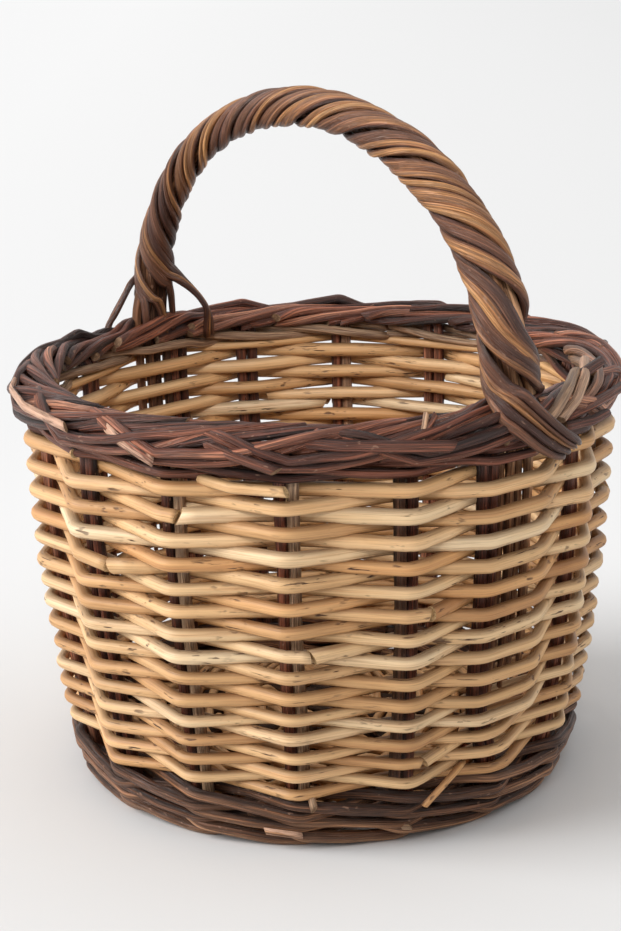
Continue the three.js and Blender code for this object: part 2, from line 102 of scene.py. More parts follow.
FOOT_RISE = wale_half(FOOT_WALE_D) + FOOT_WALE_D / 2 + ROW_PITCH / 2
RIM_ROUND_H = 2 * wale_half(RIM_WALE_D) + RIM_WALE_D + GAP
WALL_RISE = FOOT_ROUND_RISE + FOOT_RISE + (SIDE_ROWS - 0.5) * ROW_PITCH + RIM_ROUND_H
WALL_SLOPE = 2 * (WALL_TOP_R - WALL_FOOT_R) / WALL_RISE
WALL_ANGLE = math.atan2(1, WALL_SLOPE)
BASE_ANGLE = -math.atan(BASE_TILT)
EDGE_R = WALL_FOOT_R - BEND_R * (math.sin(WALL_ANGLE) - math.sin(BASE_ANGLE))
BASE_CROWN = EDGE_R * BASE_TILT / 2
LOWEST_FROM_EDGE = (
    BEND_R * (math.cos(BASE_ANGLE) - math.cos(FOOT_WALE_TILT))
    - wale_reach(FOOT_WALE_D) * math.cos(FOOT_WALE_TILT)
    - wale_half(FOOT_WALE_D) * math.sin(FOOT_WALE_TILT)
    - FOOT_WALE_D / 2
)
EDGE_Z = -LOWEST_FROM_EDGE - FLAT_DEPTH
WALL_FOOT_Z = EDGE_Z + BEND_R * (math.cos(BASE_ANGLE) - math.cos(WALL_ANGLE))
WALL_TOP_Z = WALL_FOOT_Z + WALL_RISE
SIDE_FOOT_Z = WALL_FOOT_Z + FOOT_ROUND_RISE + FOOT_RISE - ROW_PITCH / 2
RIM_WALE_Z = WALL_TOP_Z - wale_half(RIM_WALE_D) - RIM_WALE_D / 2
STAKE_BUTT_R = EDGE_R - STAKE_FOOT_LENGTH
print(f"wall from {WALL_FOOT_Z:.1f} to {WALL_TOP_Z:.1f} mm")

# %% [markdown]
# ## Places on the basket
# Every rod is described by stations: a point, the direction that faces out of the weave there, and the
# rod's half thickness. Angle, radius and height are easier to think in than x, y and z, so these helpers
# turn one into the other and give the profile that the uprights follow: domed base, bend and wall.

# %% Stations and the profile


def station(at, out, wide, deep=None):
    return (at, out, wide, wide if deep is None else deep)


def around(angle, r, z, shift=0.0):
    c, s = math.cos(angle), math.sin(angle)
    return Vector((r * c - shift * s, r * s + shift * c, z))


def facing(angle, nr, nz):
    return Vector((nr * math.cos(angle), nr * math.sin(angle), nz))


def smooth(x):
    t = min(max(x, 0.0), 1.0)
    return t * t * (3 - 2 * t)


def base_height(r):
    return EDGE_Z + BASE_CROWN * (1 - (r / EDGE_R) ** 2)


def base_at(r):
    slope = math.atan(-2 * BASE_CROWN * r / EDGE_R**2)
    return r, base_height(r), math.sin(slope), -math.cos(slope)


def bend_at(angle):
    r = EDGE_R + BEND_R * (math.sin(angle) - math.sin(BASE_ANGLE))
    z = EDGE_Z + BEND_R * (math.cos(BASE_ANGLE) - math.cos(angle))
    return r, z, math.sin(angle), -math.cos(angle)


def wall_at(z):
    left = 1 - (z - WALL_FOOT_Z) / WALL_RISE
    slope = WALL_SLOPE * left
    length = math.hypot(1, slope)
    return WALL_TOP_R - (WALL_TOP_R - WALL_FOOT_R) * left**2, z, 1 / length, -slope / length


def woven(k, place, off, d, shift=0.0, up=0.0):
    r, z, nr, nz = place
    angle = k * STEP
    at = around(angle, r + off * nr - up * nz, z + off * nz + up * nr, shift)
    return station(at, facing(angle, nr, nz), d / 2)


half_way = wall_at((WALL_FOOT_Z + WALL_TOP_Z) / 2)
print(f"radius half way up the wall: {half_way[0]:.1f} mm")

# %% [markdown]
# ## Making a rod
# A rod could be a curve with a round bevel, but its thickness, flats and slanted cuts are easier to
# steer by hand. So each rod starts as one circle, which is extruded along its edge again and again, and
# each new ring is turned, moved and scaled onto the next station. Two attributes go with every ring:
# "grain" is the place on the rod as if it lay straight, so bark and fibre follow each bend, and "tone"
# holds the rod's own shade, how far it is scraped or pale, and painted shade: in the hollows of barked
# rods, and at the edges of buff rods, where they touch.

# %% Softened paths
BEND_SHARE = 0.48  # the most that one bend may take of the run next to it
BEND_RINGS = (0.25, 0.5, 0.75)


def mixed(a, b, t):
    at, out = a[0].lerp(b[0], t), a[1].lerp(b[1], t)
    return at, out, a[2] + (b[2] - a[2]) * t, a[3] + (b[3] - a[3]) * t


def softened(stations, corner, spacing):
    """The same path with each bend rounded over its corner length and rings about spacing apart."""
    last = len(stations) - 1
    corners = corner if isinstance(corner, list) else [corner] * len(stations)
    runs = [(stations[i + 1][0] - stations[i][0]).length for i in range(last)]
    path = []
    for i in range(last):
        lead = 0.0 if i == 0 else min(corners[i] / runs[i], BEND_SHARE)
        tail = 0.0 if i == last - 1 else min(corners[i + 1] / runs[i], BEND_SHARE)
        count = max(1, round(runs[i] * (1 - lead - tail) / spacing))
        for step in range(count + 1):
            path.append(mixed(stations[i], stations[i + 1], lead + (1 - lead - tail) * step / count))
        if i == last - 1:
            break
        before = path[-1]
        after = mixed(stations[i + 1], stations[i + 2], min(corners[i + 1] / runs[i + 1], BEND_SHARE))
        for t in BEND_RINGS:
            bend = mixed(mixed(before, stations[i + 1], t), mixed(stations[i + 1], after, t), t)
            path.append(bend)
    return path


elbow = [station(Vector(at), Vector((0, 0, 1)), STAKE_R) for at in ((0, 0, 0), (40, 0, 0), (40, 40, 0))]
print("rings of a bent trial rod:", len(softened(elbow, 4, 5)))

# %% Grown, not machined
SWAY_RUN = 38.0  # length over which a rod sways
KNOT_RUN = 11.0  # distance between its swellings


def naturally(path, seed, sway=0.35, swell=0.05, butt=1.0, tip=1.0):
    """A rod is never quite straight or even: it sways, swells at its knots and tapers to its tip."""
    grown, run = [], 0.0
    for i, (at, out, wide, deep) in enumerate(path):
        if i:
            run += (at - path[i - 1][0]).length
        swing = sway(i / (len(path) - 1)) if callable(sway) else sway
        here = Vector((run / SWAY_RUN, seed * 7.31, 0.5))
        knot = 1 + swell * noise.noise(Vector((run / KNOT_RUN, seed * 3.17, 2.5)))
        size = knot * (butt + (tip - butt) * i / (len(path) - 1))
        moved = at + swing * noise.noise_vector(here)
        grown.append((moved, out, wide * size, deep * size))
    return grown


def grounded(path):
    """The same path, kept above the floor."""
    kept = []
    for at, out, wide, deep in path:
        above = Vector((at.x, at.y, max(at.z, wide, deep)))
        kept.append((above, out, wide, deep))
    return kept


swayed = naturally(softened(elbow, 4, 5), 1.0)
print(f"the trial rod's end sways {(swayed[-1][0] - elbow[-1][0]).length:.2f} mm")

# %% From a path to a closed rod
LEAST_LEAN = 0.4  # share of a cut's full slant
CUT_TURN = 6.28  # a cut may face any way round
GRAIN_START = 3.0


def ring_frames(path):
    frames = []
    for i, (at, out, wide, deep) in enumerate(path):
        ahead = path[min(i + 1, len(path) - 1)][0] - path[max(i - 1, 0)][0]
        along = ahead.normalized()
        across = along.cross(out).normalized()
        through = along.cross(across)
        turn = Matrix((across * wide, through * deep, along * wide)).transposed()
        frames.append(Matrix.Translation(at * MM) @ (turn * MM).to_4x4())
    return frames


def slanted(frame_here, lean, turn):
    """A knife cuts a rod at a slant, so its end ring leans over and grows to stay on the rod."""
    spin = Matrix.Rotation(turn, 4, "Z")
    tilt = Matrix.Rotation(lean, 4, "X") @ Matrix.Scale(1 / math.cos(lean), 4, (0, 1, 0))
    return frame_here @ spin @ tilt @ spin.inverted()


def lay_rod(bm, path, sides, tone, rng, lean):
    grain = bm.verts.layers.float_vector["grain"]
    shade = bm.verts.layers.float_color["tone"]
    frames = ring_frames(path)
    frames[0] = slanted(frames[0], -rng.uniform(LEAST_LEAN, 1) * lean, rng.uniform(0, CUT_TURN))
    frames[-1] = slanted(frames[-1], rng.uniform(LEAST_LEAN, 1) * lean, rng.uniform(0, CUT_TURN))
    origin = Vector([rng.uniform(0, GRAIN_START) for _ in "xyz"])
    run = 0.0

    def mark(verts, i):
        back = frames[i].inverted()
        wide = path[i][2] * MM
        for v in verts:
            spot = back @ v.co
            v[grain] = origin + Vector((spot.x * wide, spot.y * wide, run * MM))
            v[shade] = tone(i / (len(path) - 1), spot)

    verts = bmesh.ops.create_circle(bm, segments=sides, radius=1.0, matrix=frames[0])["verts"]
    mark(verts, 0)
    edges = list(dict.fromkeys(e for v in verts for e in v.link_edges))
    caps = [bmesh.ops.contextual_create(bm, geom=edges)["faces"][0]]
    skin = []
    for i in range(1, len(path)):
        run += (path[i][0] - path[i - 1][0]).length
        grown = bmesh.ops.extrude_edge_only(bm, edges=edges)["geom"]
        verts = [g for g in grown if isinstance(g, bmesh.types.BMVert)]
        fresh = set(verts)
        edges = [g for g in grown if isinstance(g, bmesh.types.BMEdge) and set(g.verts) <= fresh]
        skin += [g for g in grown if isinstance(g, bmesh.types.BMFace)]
        bmesh.ops.transform(bm, matrix=frames[i] @ frames[i - 1].inverted(), verts=verts)
        mark(verts, i)
    caps.append(bmesh.ops.contextual_create(bm, geom=edges)["faces"][0])
    for face in skin:
        face.smooth = True
    for face in caps:
        face.material_index = 1
    bmesh.ops.recalc_face_normals(bm, faces=skin + caps)


print("frames of the trial rod:", len(ring_frames(swayed)))

# %% From rods to a piece


def rod_piece(name, rods, sides, finish, slot, seed, lean=0.35):
    """One piece of the basket: a list of (path, tone), all laid into one mesh.

    A piece has the name of the solid that it stands for.
    """
    rng = random.Random(seed)
    bm = bmesh.new()
    bm.verts.layers.float_vector.new("grain")
    bm.verts.layers.float_color.new("tone")
    for path, tone in rods:
        lay_rod(bm, path, sides, tone, rng, lean)
    mesh = bpy.data.meshes.new(name)
    bm.to_mesh(mesh)
    bm.free()
    piece = bpy.data.objects.new(name, mesh)
    bpy.context.scene.collection.objects.link(piece)
    mesh.materials.append(finish)
    mesh.materials.append(cut_wood if finish in (side_buff, base_buff) else old_cut)
    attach(piece, "root")
    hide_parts(name)
    return piece


print("pieces to make:", len(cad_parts))

# %% Tone across a rod
# A spot on a ring is given in rod radii: x across the weave, y from the outer side (-1) to the inner (1).
# Painted shade: how much darker rods are painted in their hollows and at their edges, where shade falls
# between them.
BUFF_EDGE_SHADE = 0.6
BARK_HOLLOW_SHADE = 0.6
PALE_HOLLOW_SHADE = 0.4


def edge(spot):
    """How near a spot is to the edge of a rod, where it touches the next one."""
    return smooth((abs(spot.x) - 0.6) / 0.4)


def hollow(spot):
    """How far a spot lies in a hollow, where painted shade darkens it: on the inner side of a bundle, or at
    an edge.
    """
    return max(smooth((spot.y + 0.2) / 0.9), 0.7 * edge(spot))


def plain_tone(shade, scraped=0.0, pale=0.0):
    def tone(t, spot):
        # Painted shade in the hollows darkens the rod and dims its pale.
        dark = hollow(spot)
        return shade - BARK_HOLLOW_SHADE * dark, scraped, pale * (1 - PALE_HOLLOW_SHADE * dark), 1.0

    return tone


def buff_tone(shade, warm):
    # Painted shade at the edges, where buff rods touch, goes into the scrape's channel.
    return lambda t, spot: (shade, BUFF_EDGE_SHADE * edge(spot), warm, 1.0)


inside, outside = hollow(Vector((0, 1, 0))), hollow(Vector((0, -1, 0)))
print(f"hollow on the inner side of a rod: {inside:.1f}, on the outer side: {outside:.1f}")

# %% [markdown]
# ## Finishes
# Peeled willow that was boiled in its bark turns buff: tan with fine fibres, darker freckles and pale
# stretches. Willow in its bark is red-brown to nearly black, ridged along its length, with a little
# grey bloom and pale scrapes. A picture of wood could be wrapped round each rod, but it would repeat and
# stretch. So each finish is made of noise that reads the rod's own "grain", stretched along the rod, and
# every rod has its own stretch of it.

# %% Node helpers


class Finish:
    """A material with a short way to add and join its nodes."""

    def __init__(self, name):
        self.material = bpy.data.materials.new(name)
        self.material.use_nodes = True
        self.tree = self.material.node_tree
        self.shader = self.tree.nodes["Principled BSDF"]
        self.grain = self.add("ShaderNodeAttribute", attribute_name="grain").outputs["Vector"]
        tone = self.add("ShaderNodeAttribute", attribute_name="tone").outputs["Color"]
        split = self.add("ShaderNodeSeparateColor")
        self.tree.links.new(tone, split.inputs["Color"])
        # The second channel is how far a barked rod is scraped, and on a buff rod the painted shade at its
        # edges.
        self.shade, self.scraped, self.pale = split.outputs

    def add(self, kind, **settings):
        node = self.tree.nodes.new(kind)
        for key, value in settings.items():
            setattr(node, key, value)
        return node

    def put(self, value, socket):
        if isinstance(value, bpy.types.NodeSocket):
            self.tree.links.new(value, socket)
        else:
            socket.default_value = value

    def maths(self, operation, a, b, clamp=False):
        node = self.add("ShaderNodeMath", operation=operation, use_clamp=clamp)
        self.put(a, node.inputs[0])
        self.put(b, node.inputs[1])
        return node.outputs[0]

    def noise(self, stretch, detail=3.0, rough=0.55, warp=0.0):
        """Noise on the rod's own grain: stretch is how often it varies in a metre, each way."""
        scaled = self.add("ShaderNodeVectorMath", operation="MULTIPLY")
        self.put(self.grain, scaled.inputs[0])
        scaled.inputs[1].default_value = stretch
        node = self.add("ShaderNodeTexNoise")
        self.put(scaled.outputs[0], node.inputs["Vector"])
        node.inputs["Scale"].default_value = 1.0
        node.inputs["Detail"].default_value = detail
        node.inputs["Roughness"].default_value = rough
        node.inputs["Distortion"].default_value = warp
        return node.outputs["Fac"]

    def spread(self, value, low, high, to_low=0.0, to_high=1.0):
        node = self.add("ShaderNodeMapRange")
        self.put(value, node.inputs["Value"])
        limits = {"From Min": low, "From Max": high, "To Min": to_low, "To Max": to_high}
        for name, number in limits.items():
            node.inputs[name].default_value = number
        return node.outputs["Result"]

    def ramp(self, value, stops):
        node = self.add("ShaderNodeValToRGB")
        self.put(value, node.inputs["Fac"])
        elements = node.color_ramp.elements
        while len(elements) < len(stops):
            elements.new(0.5)
        for element, (place, color) in zip(elements, stops):
            element.position = place
            element.color = (*color, 1.0)
        return node.outputs["Color"]

    def mix(self, fac, a, b, blend="MIX"):
        # A Mix node keeps sockets for each kind of data: 6 and 7 are its two colours, and 2 the colour out.
        node = self.add("ShaderNodeMix", data_type="RGBA", blend_type=blend)
        self.put(fac, node.inputs[0])
        self.put(a, node.inputs[6])
        self.put(b, node.inputs[7])
        return node.outputs[2]

    def bump(self, height, depth, below=None):
        node = self.add("ShaderNodeBump")
        node.inputs["Strength"].default_value = 1.0
        node.inputs["Distance"].default_value = depth
        self.put(height, node.inputs["Height"])
        if below is not None:
            self.put(below, node.inputs["Normal"])
        return node.outputs["Normal"]

    def done(self, color, roughness, normal):
        self.put(color, self.shader.inputs["Base Color"])
        self.put(roughness, self.shader.inputs["Roughness"])
        self.put(normal, self.shader.inputs["Normal"])
        print("finish:", self.material.name, len(self.tree.nodes), "nodes")
        return self.material


def srgb(r, g, b):
    """A screen colour in the linear light that Blender's shaders work in."""

    def one(v):
        v /= 255
        return v / 12.92 if v <= 0.04045 else ((v + 0.055) / 1.055) ** 2.4

    return one(r), one(g), one(b)


def rgba(r, g, b):
    return (*srgb(r, g, b), 1)


print(f"mid grey of a screen in linear light: {srgb(128, 128, 128)[0]:.3f}")

# %% [markdown]
# ### Peeled willow
# The colour of a buff rod starts from its own shade and a slow cloud along it. Streaks, fine fibres,
# freckles and small cracks go over that, and painted shade darkens the edges, where rods touch. The same
# fibres and cracks raise and lower the surface, so that gloss breaks up as it does on real wood.

# %% Peeled willow
STREAK = rgba(188, 132, 84)
WARM = (1.0, 0.8, 0.6, 1)
FRECKLE = rgba(78, 46, 26)
# The colour of the painted shade at the edges of buff rods.
EDGE_SHADE_COLOUR = rgba(96, 64, 44)
FIBRES = [(0.0, (0.66, 0.58, 0.52)), (0.5, (1, 1, 1)), (1.0, (1.1, 1.1, 1.1))]
FIBRE_DEPTH = 0.00025
WORN_DEPTH = 0.0012


def peeled_willow(name, stops):
    f = Finish(name)
    cloud = f.noise((90, 90, 16), detail=3)
    fibre = f.noise((1500, 1500, 30), detail=4, rough=0.6)
    streak = f.noise((500, 500, 9), detail=2)
    level = f.maths("ADD", f.maths("MULTIPLY", f.shade, 0.55), f.maths("MULTIPLY", cloud, 0.45))
    body = f.ramp(level, stops)
    body = f.mix(f.spread(streak, 0.52, 0.74, 0, 0.5), body, STREAK)
    body = f.mix(f.pale, body, WARM, "MULTIPLY")
    body = f.mix(0.8, body, f.ramp(f.spread(fibre, 0.3, 0.7), FIBRES), "MULTIPLY")
    fleck = f.noise((420, 420, 130), detail=2, rough=0.5)
    patch = f.noise((70, 70, 45), detail=1)
    flecks = f.maths("MULTIPLY", f.spread(fleck, 0.6, 0.68), f.spread(patch, 0.5, 0.64), clamp=True)
    crack = f.noise((760, 760, 75), detail=2, rough=0.6, warp=0.4)
    reach = f.noise((55, 55, 30), detail=1)
    cracks = f.maths("MULTIPLY", f.spread(crack, 0.63, 0.68), f.spread(reach, 0.54, 0.62), clamp=True)
    marks = f.maths("MAXIMUM", f.maths("MULTIPLY", flecks, 0.8), cracks)
    body = f.mix(marks, body, FRECKLE)
    # Painted shade at the edges, where rods touch.
    body = f.mix(f.scraped, body, EDGE_SHADE_COLOUR)
    rough = f.spread(fibre, 0.3, 0.7, 0.4, 0.58)
    worn = f.maths("SUBTRACT", cloud, f.maths("MULTIPLY", marks, 0.35))
    normal = f.bump(fibre, FIBRE_DEPTH, f.bump(worn, WORN_DEPTH))
    f.shader.inputs["Specular IOR Level"].default_value = 0.45
    return f.done(body, rough, normal)


BUFF_STOPS = [
    (0.16, srgb(178, 125, 77)),
    (0.38, srgb(212, 165, 112)),
    (0.6, srgb(231, 192, 142)),
    (0.85, srgb(246, 222, 184)),
]
side_buff = peeled_willow("side_buff", BUFF_STOPS)
base_buff = peeled_willow("base_buff", BUFF_STOPS)

# %% [markdown]
# ### Willow in its bark
# Drying bark draws into ridges along the rod. Each ridge could be modelled, but that would take millions of
# faces. So a stretched noise gives them: where it crosses its middle value there is a furrow, low and with
# painted shade in it, and the crests between are painted lighter, as a highlight would fall on them.
# A grey bloom, small dots and torn places, where the pink wood shows, go over the colour. One function
# makes all the barks, which differ in colour, in the size of their ridges and in their shine.

# %% Willow in its bark
RIDGE_SCALE = 520  # how often the noise of the ridges varies in a metre
# Painted shade in the furrows and a painted highlight on the crests, as factors on the bark's colour.
RIDGE_SHADE_AND_HIGHLIGHT = [(0.0, (0.16, 0.11, 0.09)), (0.4, (0.8, 0.76, 0.73)), (1.0, (1.5, 1.42, 1.36))]
SCUFF_DARK = rgba(156, 122, 94)
SCUFF_LIGHT = rgba(212, 180, 146)
BARK_DOT = rgba(168, 128, 104)
BARE_WOOD = rgba(228, 180, 150)


def barked_willow(name, stops, ridge, shine, bloom, sheen=0.3, ridge_size=1.0, ridge_light_and_shade=0.9):
    f = Finish(name)
    cloud = f.noise((110, 110, 12), detail=3)
    round_rod = RIDGE_SCALE / ridge_size
    swirl = f.noise((round_rod, round_rod, 11), detail=3, rough=0.6, warp=0.3)
    fine = f.noise((1700, 1700, 60), detail=3, rough=0.6)
    furrow = f.maths("ABSOLUTE", f.maths("SUBTRACT", swirl, 0.5), 0)
    ridges = f.spread(furrow, 0.0, 0.13)
    level = f.maths("ADD", f.maths("MULTIPLY", f.shade, 0.58), f.maths("MULTIPLY", cloud, 0.44))
    body = f.ramp(level, stops)
    # The ridges paint shade into the furrows and a highlight onto the crests.
    body = f.mix(ridge_light_and_shade, body, f.ramp(ridges, RIDGE_SHADE_AND_HIGHLIGHT), "MULTIPLY")
    dusty = f.spread(fine, 0.45, 0.75, 0, 0.32)
    greyed = f.maths("MULTIPLY", dusty, f.spread(cloud, 0.45, 0.7), clamp=True)
    body = f.mix(greyed, body, bloom)
    light = f.mix(f.spread(fine, 0.35, 0.65), SCUFF_DARK, SCUFF_LIGHT)
    # The pale scrapes get the same painted shade and highlight of the ridges, at half strength.
    body = f.mix(f.pale, body, f.mix(0.5, light, f.ramp(ridges, RIDGE_SHADE_AND_HIGHLIGHT), "MULTIPLY"))
    dots = f.noise((520, 520, 260), detail=1)
    body = f.mix(f.spread(dots, 0.7, 0.76, 0, 0.6), body, BARK_DOT)
    torn = f.noise((260, 260, 40), detail=3)
    bare = f.maths("MULTIPLY", f.scraped, f.spread(torn, 0.36, 0.46), clamp=True)
    body = f.mix(bare, body, BARE_WOOD)
    rough = f.spread(fine, 0.3, 0.7, shine, shine + 0.2)
    normal = f.bump(fine, FIBRE_DEPTH, f.bump(ridges, ridge))
    f.shader.inputs["Specular IOR Level"].default_value = sheen
    return f.done(body, rough, normal)


print(f"ridges of bark about {1 / RIDGE_SCALE / MM:.1f} mm apart")

# %% The six barks
DARK_STOPS = [
    (0.2, srgb(44, 21, 14)),
    (0.42, srgb(98, 53, 38)),
    (0.6, srgb(142, 85, 61)),
    (0.82, srgb(203, 144, 112)),
]
FOOT_STOPS = [
    (0.2, srgb(65, 39, 26)),
    (0.42, srgb(127, 86, 59)),
    (0.6, srgb(168, 122, 87)),
    (0.82, srgb(212, 167, 128)),
]
ROPE_STOPS = [
    (0.2, srgb(75, 45, 35)),
    (0.4, srgb(117, 74, 50)),
    (0.58, srgb(165, 115, 71)),
    (0.85, srgb(204, 155, 101)),
]
STICK_STOPS = [(0.2, srgb(66, 48, 36)), (0.5, srgb(104, 76, 54)), (0.85, srgb(140, 108, 78))]
stake_bark = barked_willow(
    "stake_bark", DARK_STOPS, ridge=0.0006, shine=0.34, bloom=rgba(150, 112, 90),
    sheen=0.5, ridge_size=0.8, ridge_light_and_shade=0.8,
)
foot_bark = barked_willow(
    "foot_bark", FOOT_STOPS, ridge=0.0006, shine=0.38, bloom=rgba(140, 112, 88),
    sheen=0.45, ridge_size=0.9, ridge_light_and_shade=0.8,
)
rim_bark = barked_willow(
    "rim_bark", DARK_STOPS, ridge=0.0004, shine=0.38, bloom=rgba(140, 106, 86),
    sheen=0.4, ridge_size=1.3, ridge_light_and_shade=0.6,
)
handle_bark = barked_willow(
    "handle_bark", ROPE_STOPS, ridge=0.0003, shine=0.3, bloom=rgba(176, 140, 104),
    sheen=0.5, ridge_size=0.55, ridge_light_and_shade=0.6,
)
core_bark = barked_willow(
    "core_bark", FOOT_STOPS, ridge=0.0004, shine=0.42, bloom=rgba(140, 112, 88),
    sheen=0.3, ridge_size=1.5, ridge_light_and_shade=0.7,
)
stick_bark = barked_willow("stick_bark", STICK_STOPS, ridge=0.0004, shine=0.5, bloom=rgba(130, 110, 92))

# %% [markdown]
# ### Cut ends
# A knife leaves a rod's end bare: pale on a fresh buff rod, greyed on an old one in its bark. It is a second
# material on the end faces only, so the finish along the rod stays simple.

# %% Cut ends
CUT_STAIN = rgba(110, 82, 58)
CUT_DEPTH = 0.0003


def cut_end_wood(name, dark, middle, light):
    f = Finish(name)
    rings = f.noise((900, 900, 900), detail=4)
    wood = f.ramp(rings, [(0.3, dark), (0.55, middle), (0.75, light)])
    wood = f.mix(f.spread(f.noise((300, 300, 300)), 0.5, 0.7, 0, 0.6), wood, CUT_STAIN)
    return f.done(wood, 0.8, f.bump(rings, CUT_DEPTH))


cut_wood = cut_end_wood("cut_wood", srgb(150, 112, 72), srgb(206, 172, 124), srgb(226, 198, 154))
old_cut = cut_end_wood("old_cut", srgb(92, 66, 48), srgb(134, 102, 74), srgb(172, 138, 104))

# %% [markdown]
# ## The base
# A base starts with a cross: four sticks are slit in the middle and four more are pushed through them. Two
# thin rods first bind the cross in fours and then in pairs. Then the sticks are opened out like spokes, and
# the rods chase each other round, one over the spoke that the other goes under, until the last rounds climb
# the bend and meet the foot. A disc with a weave drawn on it would be quicker, but it would look flat from
# above, so each stick and rod is laid on its own. A slit stick is made as its two halves.

# %% Sticks of the cross
STICK_PARE = (12.0, 4.0)  # a stick is pared between these distances before an upright's end
STICK_SHORT = 6.0  # a stick stops this far inside the edge of the base
CROSS_PITCH = STICK_D + 0.4
CROSS_HALF = STICKS_EACH_WAY / 2 * CROSS_PITCH
CROSS_TURN = STEP / 2
THREAD_H = 0.72 * STICK_D
SLIT_STICK_H = THREAD_H + 2 * GAP + 0.95 * STICK_D
SLIT_OFF = 0.24 * STICK_D  # from the middle of a slit stick to the middle of one half
SLIT_DEEP = 0.26 * STICK_D
STICK_TIP_W = 0.5 * STICK_D
STICK_TIP_R = EDGE_R - STICK_SHORT
DOWN = Vector((0, 0, -1))


def stick_path(i, turn, middle_height):
    place = i - (STICKS_EACH_WAY - 1) / 2

    def end(r, side, wide, high):
        angle = turn + place * STEP if side > 0 else turn + math.pi - place * STEP
        return station(around(angle, r, base_height(r)), DOWN, wide / 2, high / 2)

    def inner(along, high):
        at = around(turn, along, base_height(CROSS_HALF), place * CROSS_PITCH)
        return station(at, DOWN, STICK_D / 2, high / 2)

    def half(side):
        return [
            inner(side * CROSS_HALF, middle_height),
            inner(side * (CROSS_HALF + STICK_D), STICK_D),
            end(BASE_WEAVE_IN_R - BASE_WEAVER_D, side, STICK_D, STICK_D),
            end(STAKE_BUTT_R - STICK_PARE[0], side, STICK_D, STICK_D),
            end(STAKE_BUTT_R - STICK_PARE[1], side, STICK_TIP_W, STAKE_D),
            end(STICK_TIP_R, side, STICK_TIP_W, STAKE_D),
        ]

    return half(-1)[::-1] + half(1)


def split_at_slit(path):
    """A slit stick is two halves in the middle, one above and one below the threaded sticks."""
    halves = []
    for side in (1, -1):
        half = []
        for at, out, wide, deep in path:
            swell = max(0.0, deep - STICK_D / 2)
            middle = smooth(swell / (SLIT_STICK_H / 2 - STICK_D / 2))
            lift = SLIT_OFF * (1 - middle) + middle * (THREAD_H / 2 + GAP + SLIT_OFF)
            half_deep = SLIT_DEEP * deep / max(deep, STICK_D / 2)
            half.append((at + Vector((0, 0, side * lift)), out, wide, half_deep))
        halves.append(half)
    return halves


stick_rng = random.Random(5)
for i in range(STICKS_EACH_WAY):
    shade = plain_tone(stick_rng.uniform(0.3, 0.7))
    slit = softened(stick_path(i, CROSS_TURN, SLIT_STICK_H), 5, 6)
    rods = []
    for j, half in enumerate(split_at_slit(slit)):
        rods.append((naturally(half, i + 0.3 * j, sway=0.15, swell=0.03), shade))
    rod_piece(f"slit_stick_{i + 1}", rods, 10, stick_bark, "base_sticks", seed=10 + i, lean=0.2)
    threaded = softened(stick_path(i, CROSS_TURN + math.pi / 2, THREAD_H), 5, 6)
    shade = plain_tone(stick_rng.uniform(0.3, 0.7))
    rods = [(naturally(threaded, i + 20, sway=0.15, swell=0.03), shade)]
    rod_piece(f"threaded_stick_{i + 1}", rods, 12, stick_bark, "base_sticks", seed=20 + i, lean=0.2)
print("base sticks:", 2 * STICKS_EACH_WAY)

# %% The paired weave of the base
BASE_PITCH = 2 * (BASE_WEAVER_D + 0.3)
LAST_ROUND = 4.0  # how far past the edge the weave runs
# Each tied-in round: how many groups of sticks it takes, its radius and half the width of a group.
BOUND = ((4, 18.8, 12.5), (8, 28.6, 5.0))
PAIR_TURN = 0.355
BOUND_REACH = 1.12 * (STICK_D / 2 + BASE_WEAVER_D / 2 + GAP)
STEEPEST = 0.8  # sine of a base rod's steepest slant


def base_reach(r):
    pared = smooth((r - STAKE_BUTT_R + STICK_PARE[0]) / (STICK_PARE[0] - STICK_PARE[1]))
    clear = STICK_D / 2 + (STAKE_R - STICK_D / 2) * pared + BASE_WEAVER_D / 2 + GAP
    turn = math.asin(min(2 * clear / (r * STEP), STEEPEST))
    return clear / math.cos(turn) + (LOBE * math.tan(turn) if r > STAKE_BUTT_R else 0)


def bound_rounds(parity):
    """Before the sticks are opened out, the first rounds take them in fours and then in pairs."""
    path = []
    for groups, r, half in BOUND:
        for m in range(groups):
            arm = CROSS_TURN + math.pi / 2 * (m * 4 // groups)
            angle = arm if groups == 4 else arm + PAIR_TURN * (1 if m % 2 else -1)
            off = BOUND_REACH if (m + parity) % 2 else -BOUND_REACH
            place = base_at(r + parity * BASE_PITCH / 2)
            path += [woven(angle / STEP, place, off, BASE_WEAVER_D, shift) for shift in (-half, half)]
    return path


def to_the_foot(r):
    """The last rounds leave the base and start up the bend, until they meet the foot."""
    if r < EDGE_R:
        return base_at(r)
    return bend_at(math.asin((r - EDGE_R) / BEND_R + math.sin(BASE_ANGLE)))


def base_weaver(parity):
    first = BASE_WEAVE_IN_R + parity * BASE_PITCH / 2
    count = math.floor((EDGE_R + LAST_ROUND - first) / BASE_PITCH * ENDS)
    path = bound_rounds(parity)
    for k in range(count):
        r = first + BASE_PITCH * k / ENDS
        side = -1 if (k + parity) % 2 else 1
        path.append(woven(k, to_the_foot(r), side * base_reach(r), BASE_WEAVER_D))
    return path


for parity, letter in enumerate("ab"):
    path = softened(base_weaver(parity), 6, 8)
    path = grounded(naturally(path, 40 + parity, sway=0.12, swell=0.04))
    rods = [(path, buff_tone(0.45 + 0.1 * parity, 0.2))]
    rod_piece(f"base_weaver_{letter}", rods, 8, base_buff, "base_weave", seed=30 + parity)
    print(f"base weaver {letter}: {len(path)} rings")

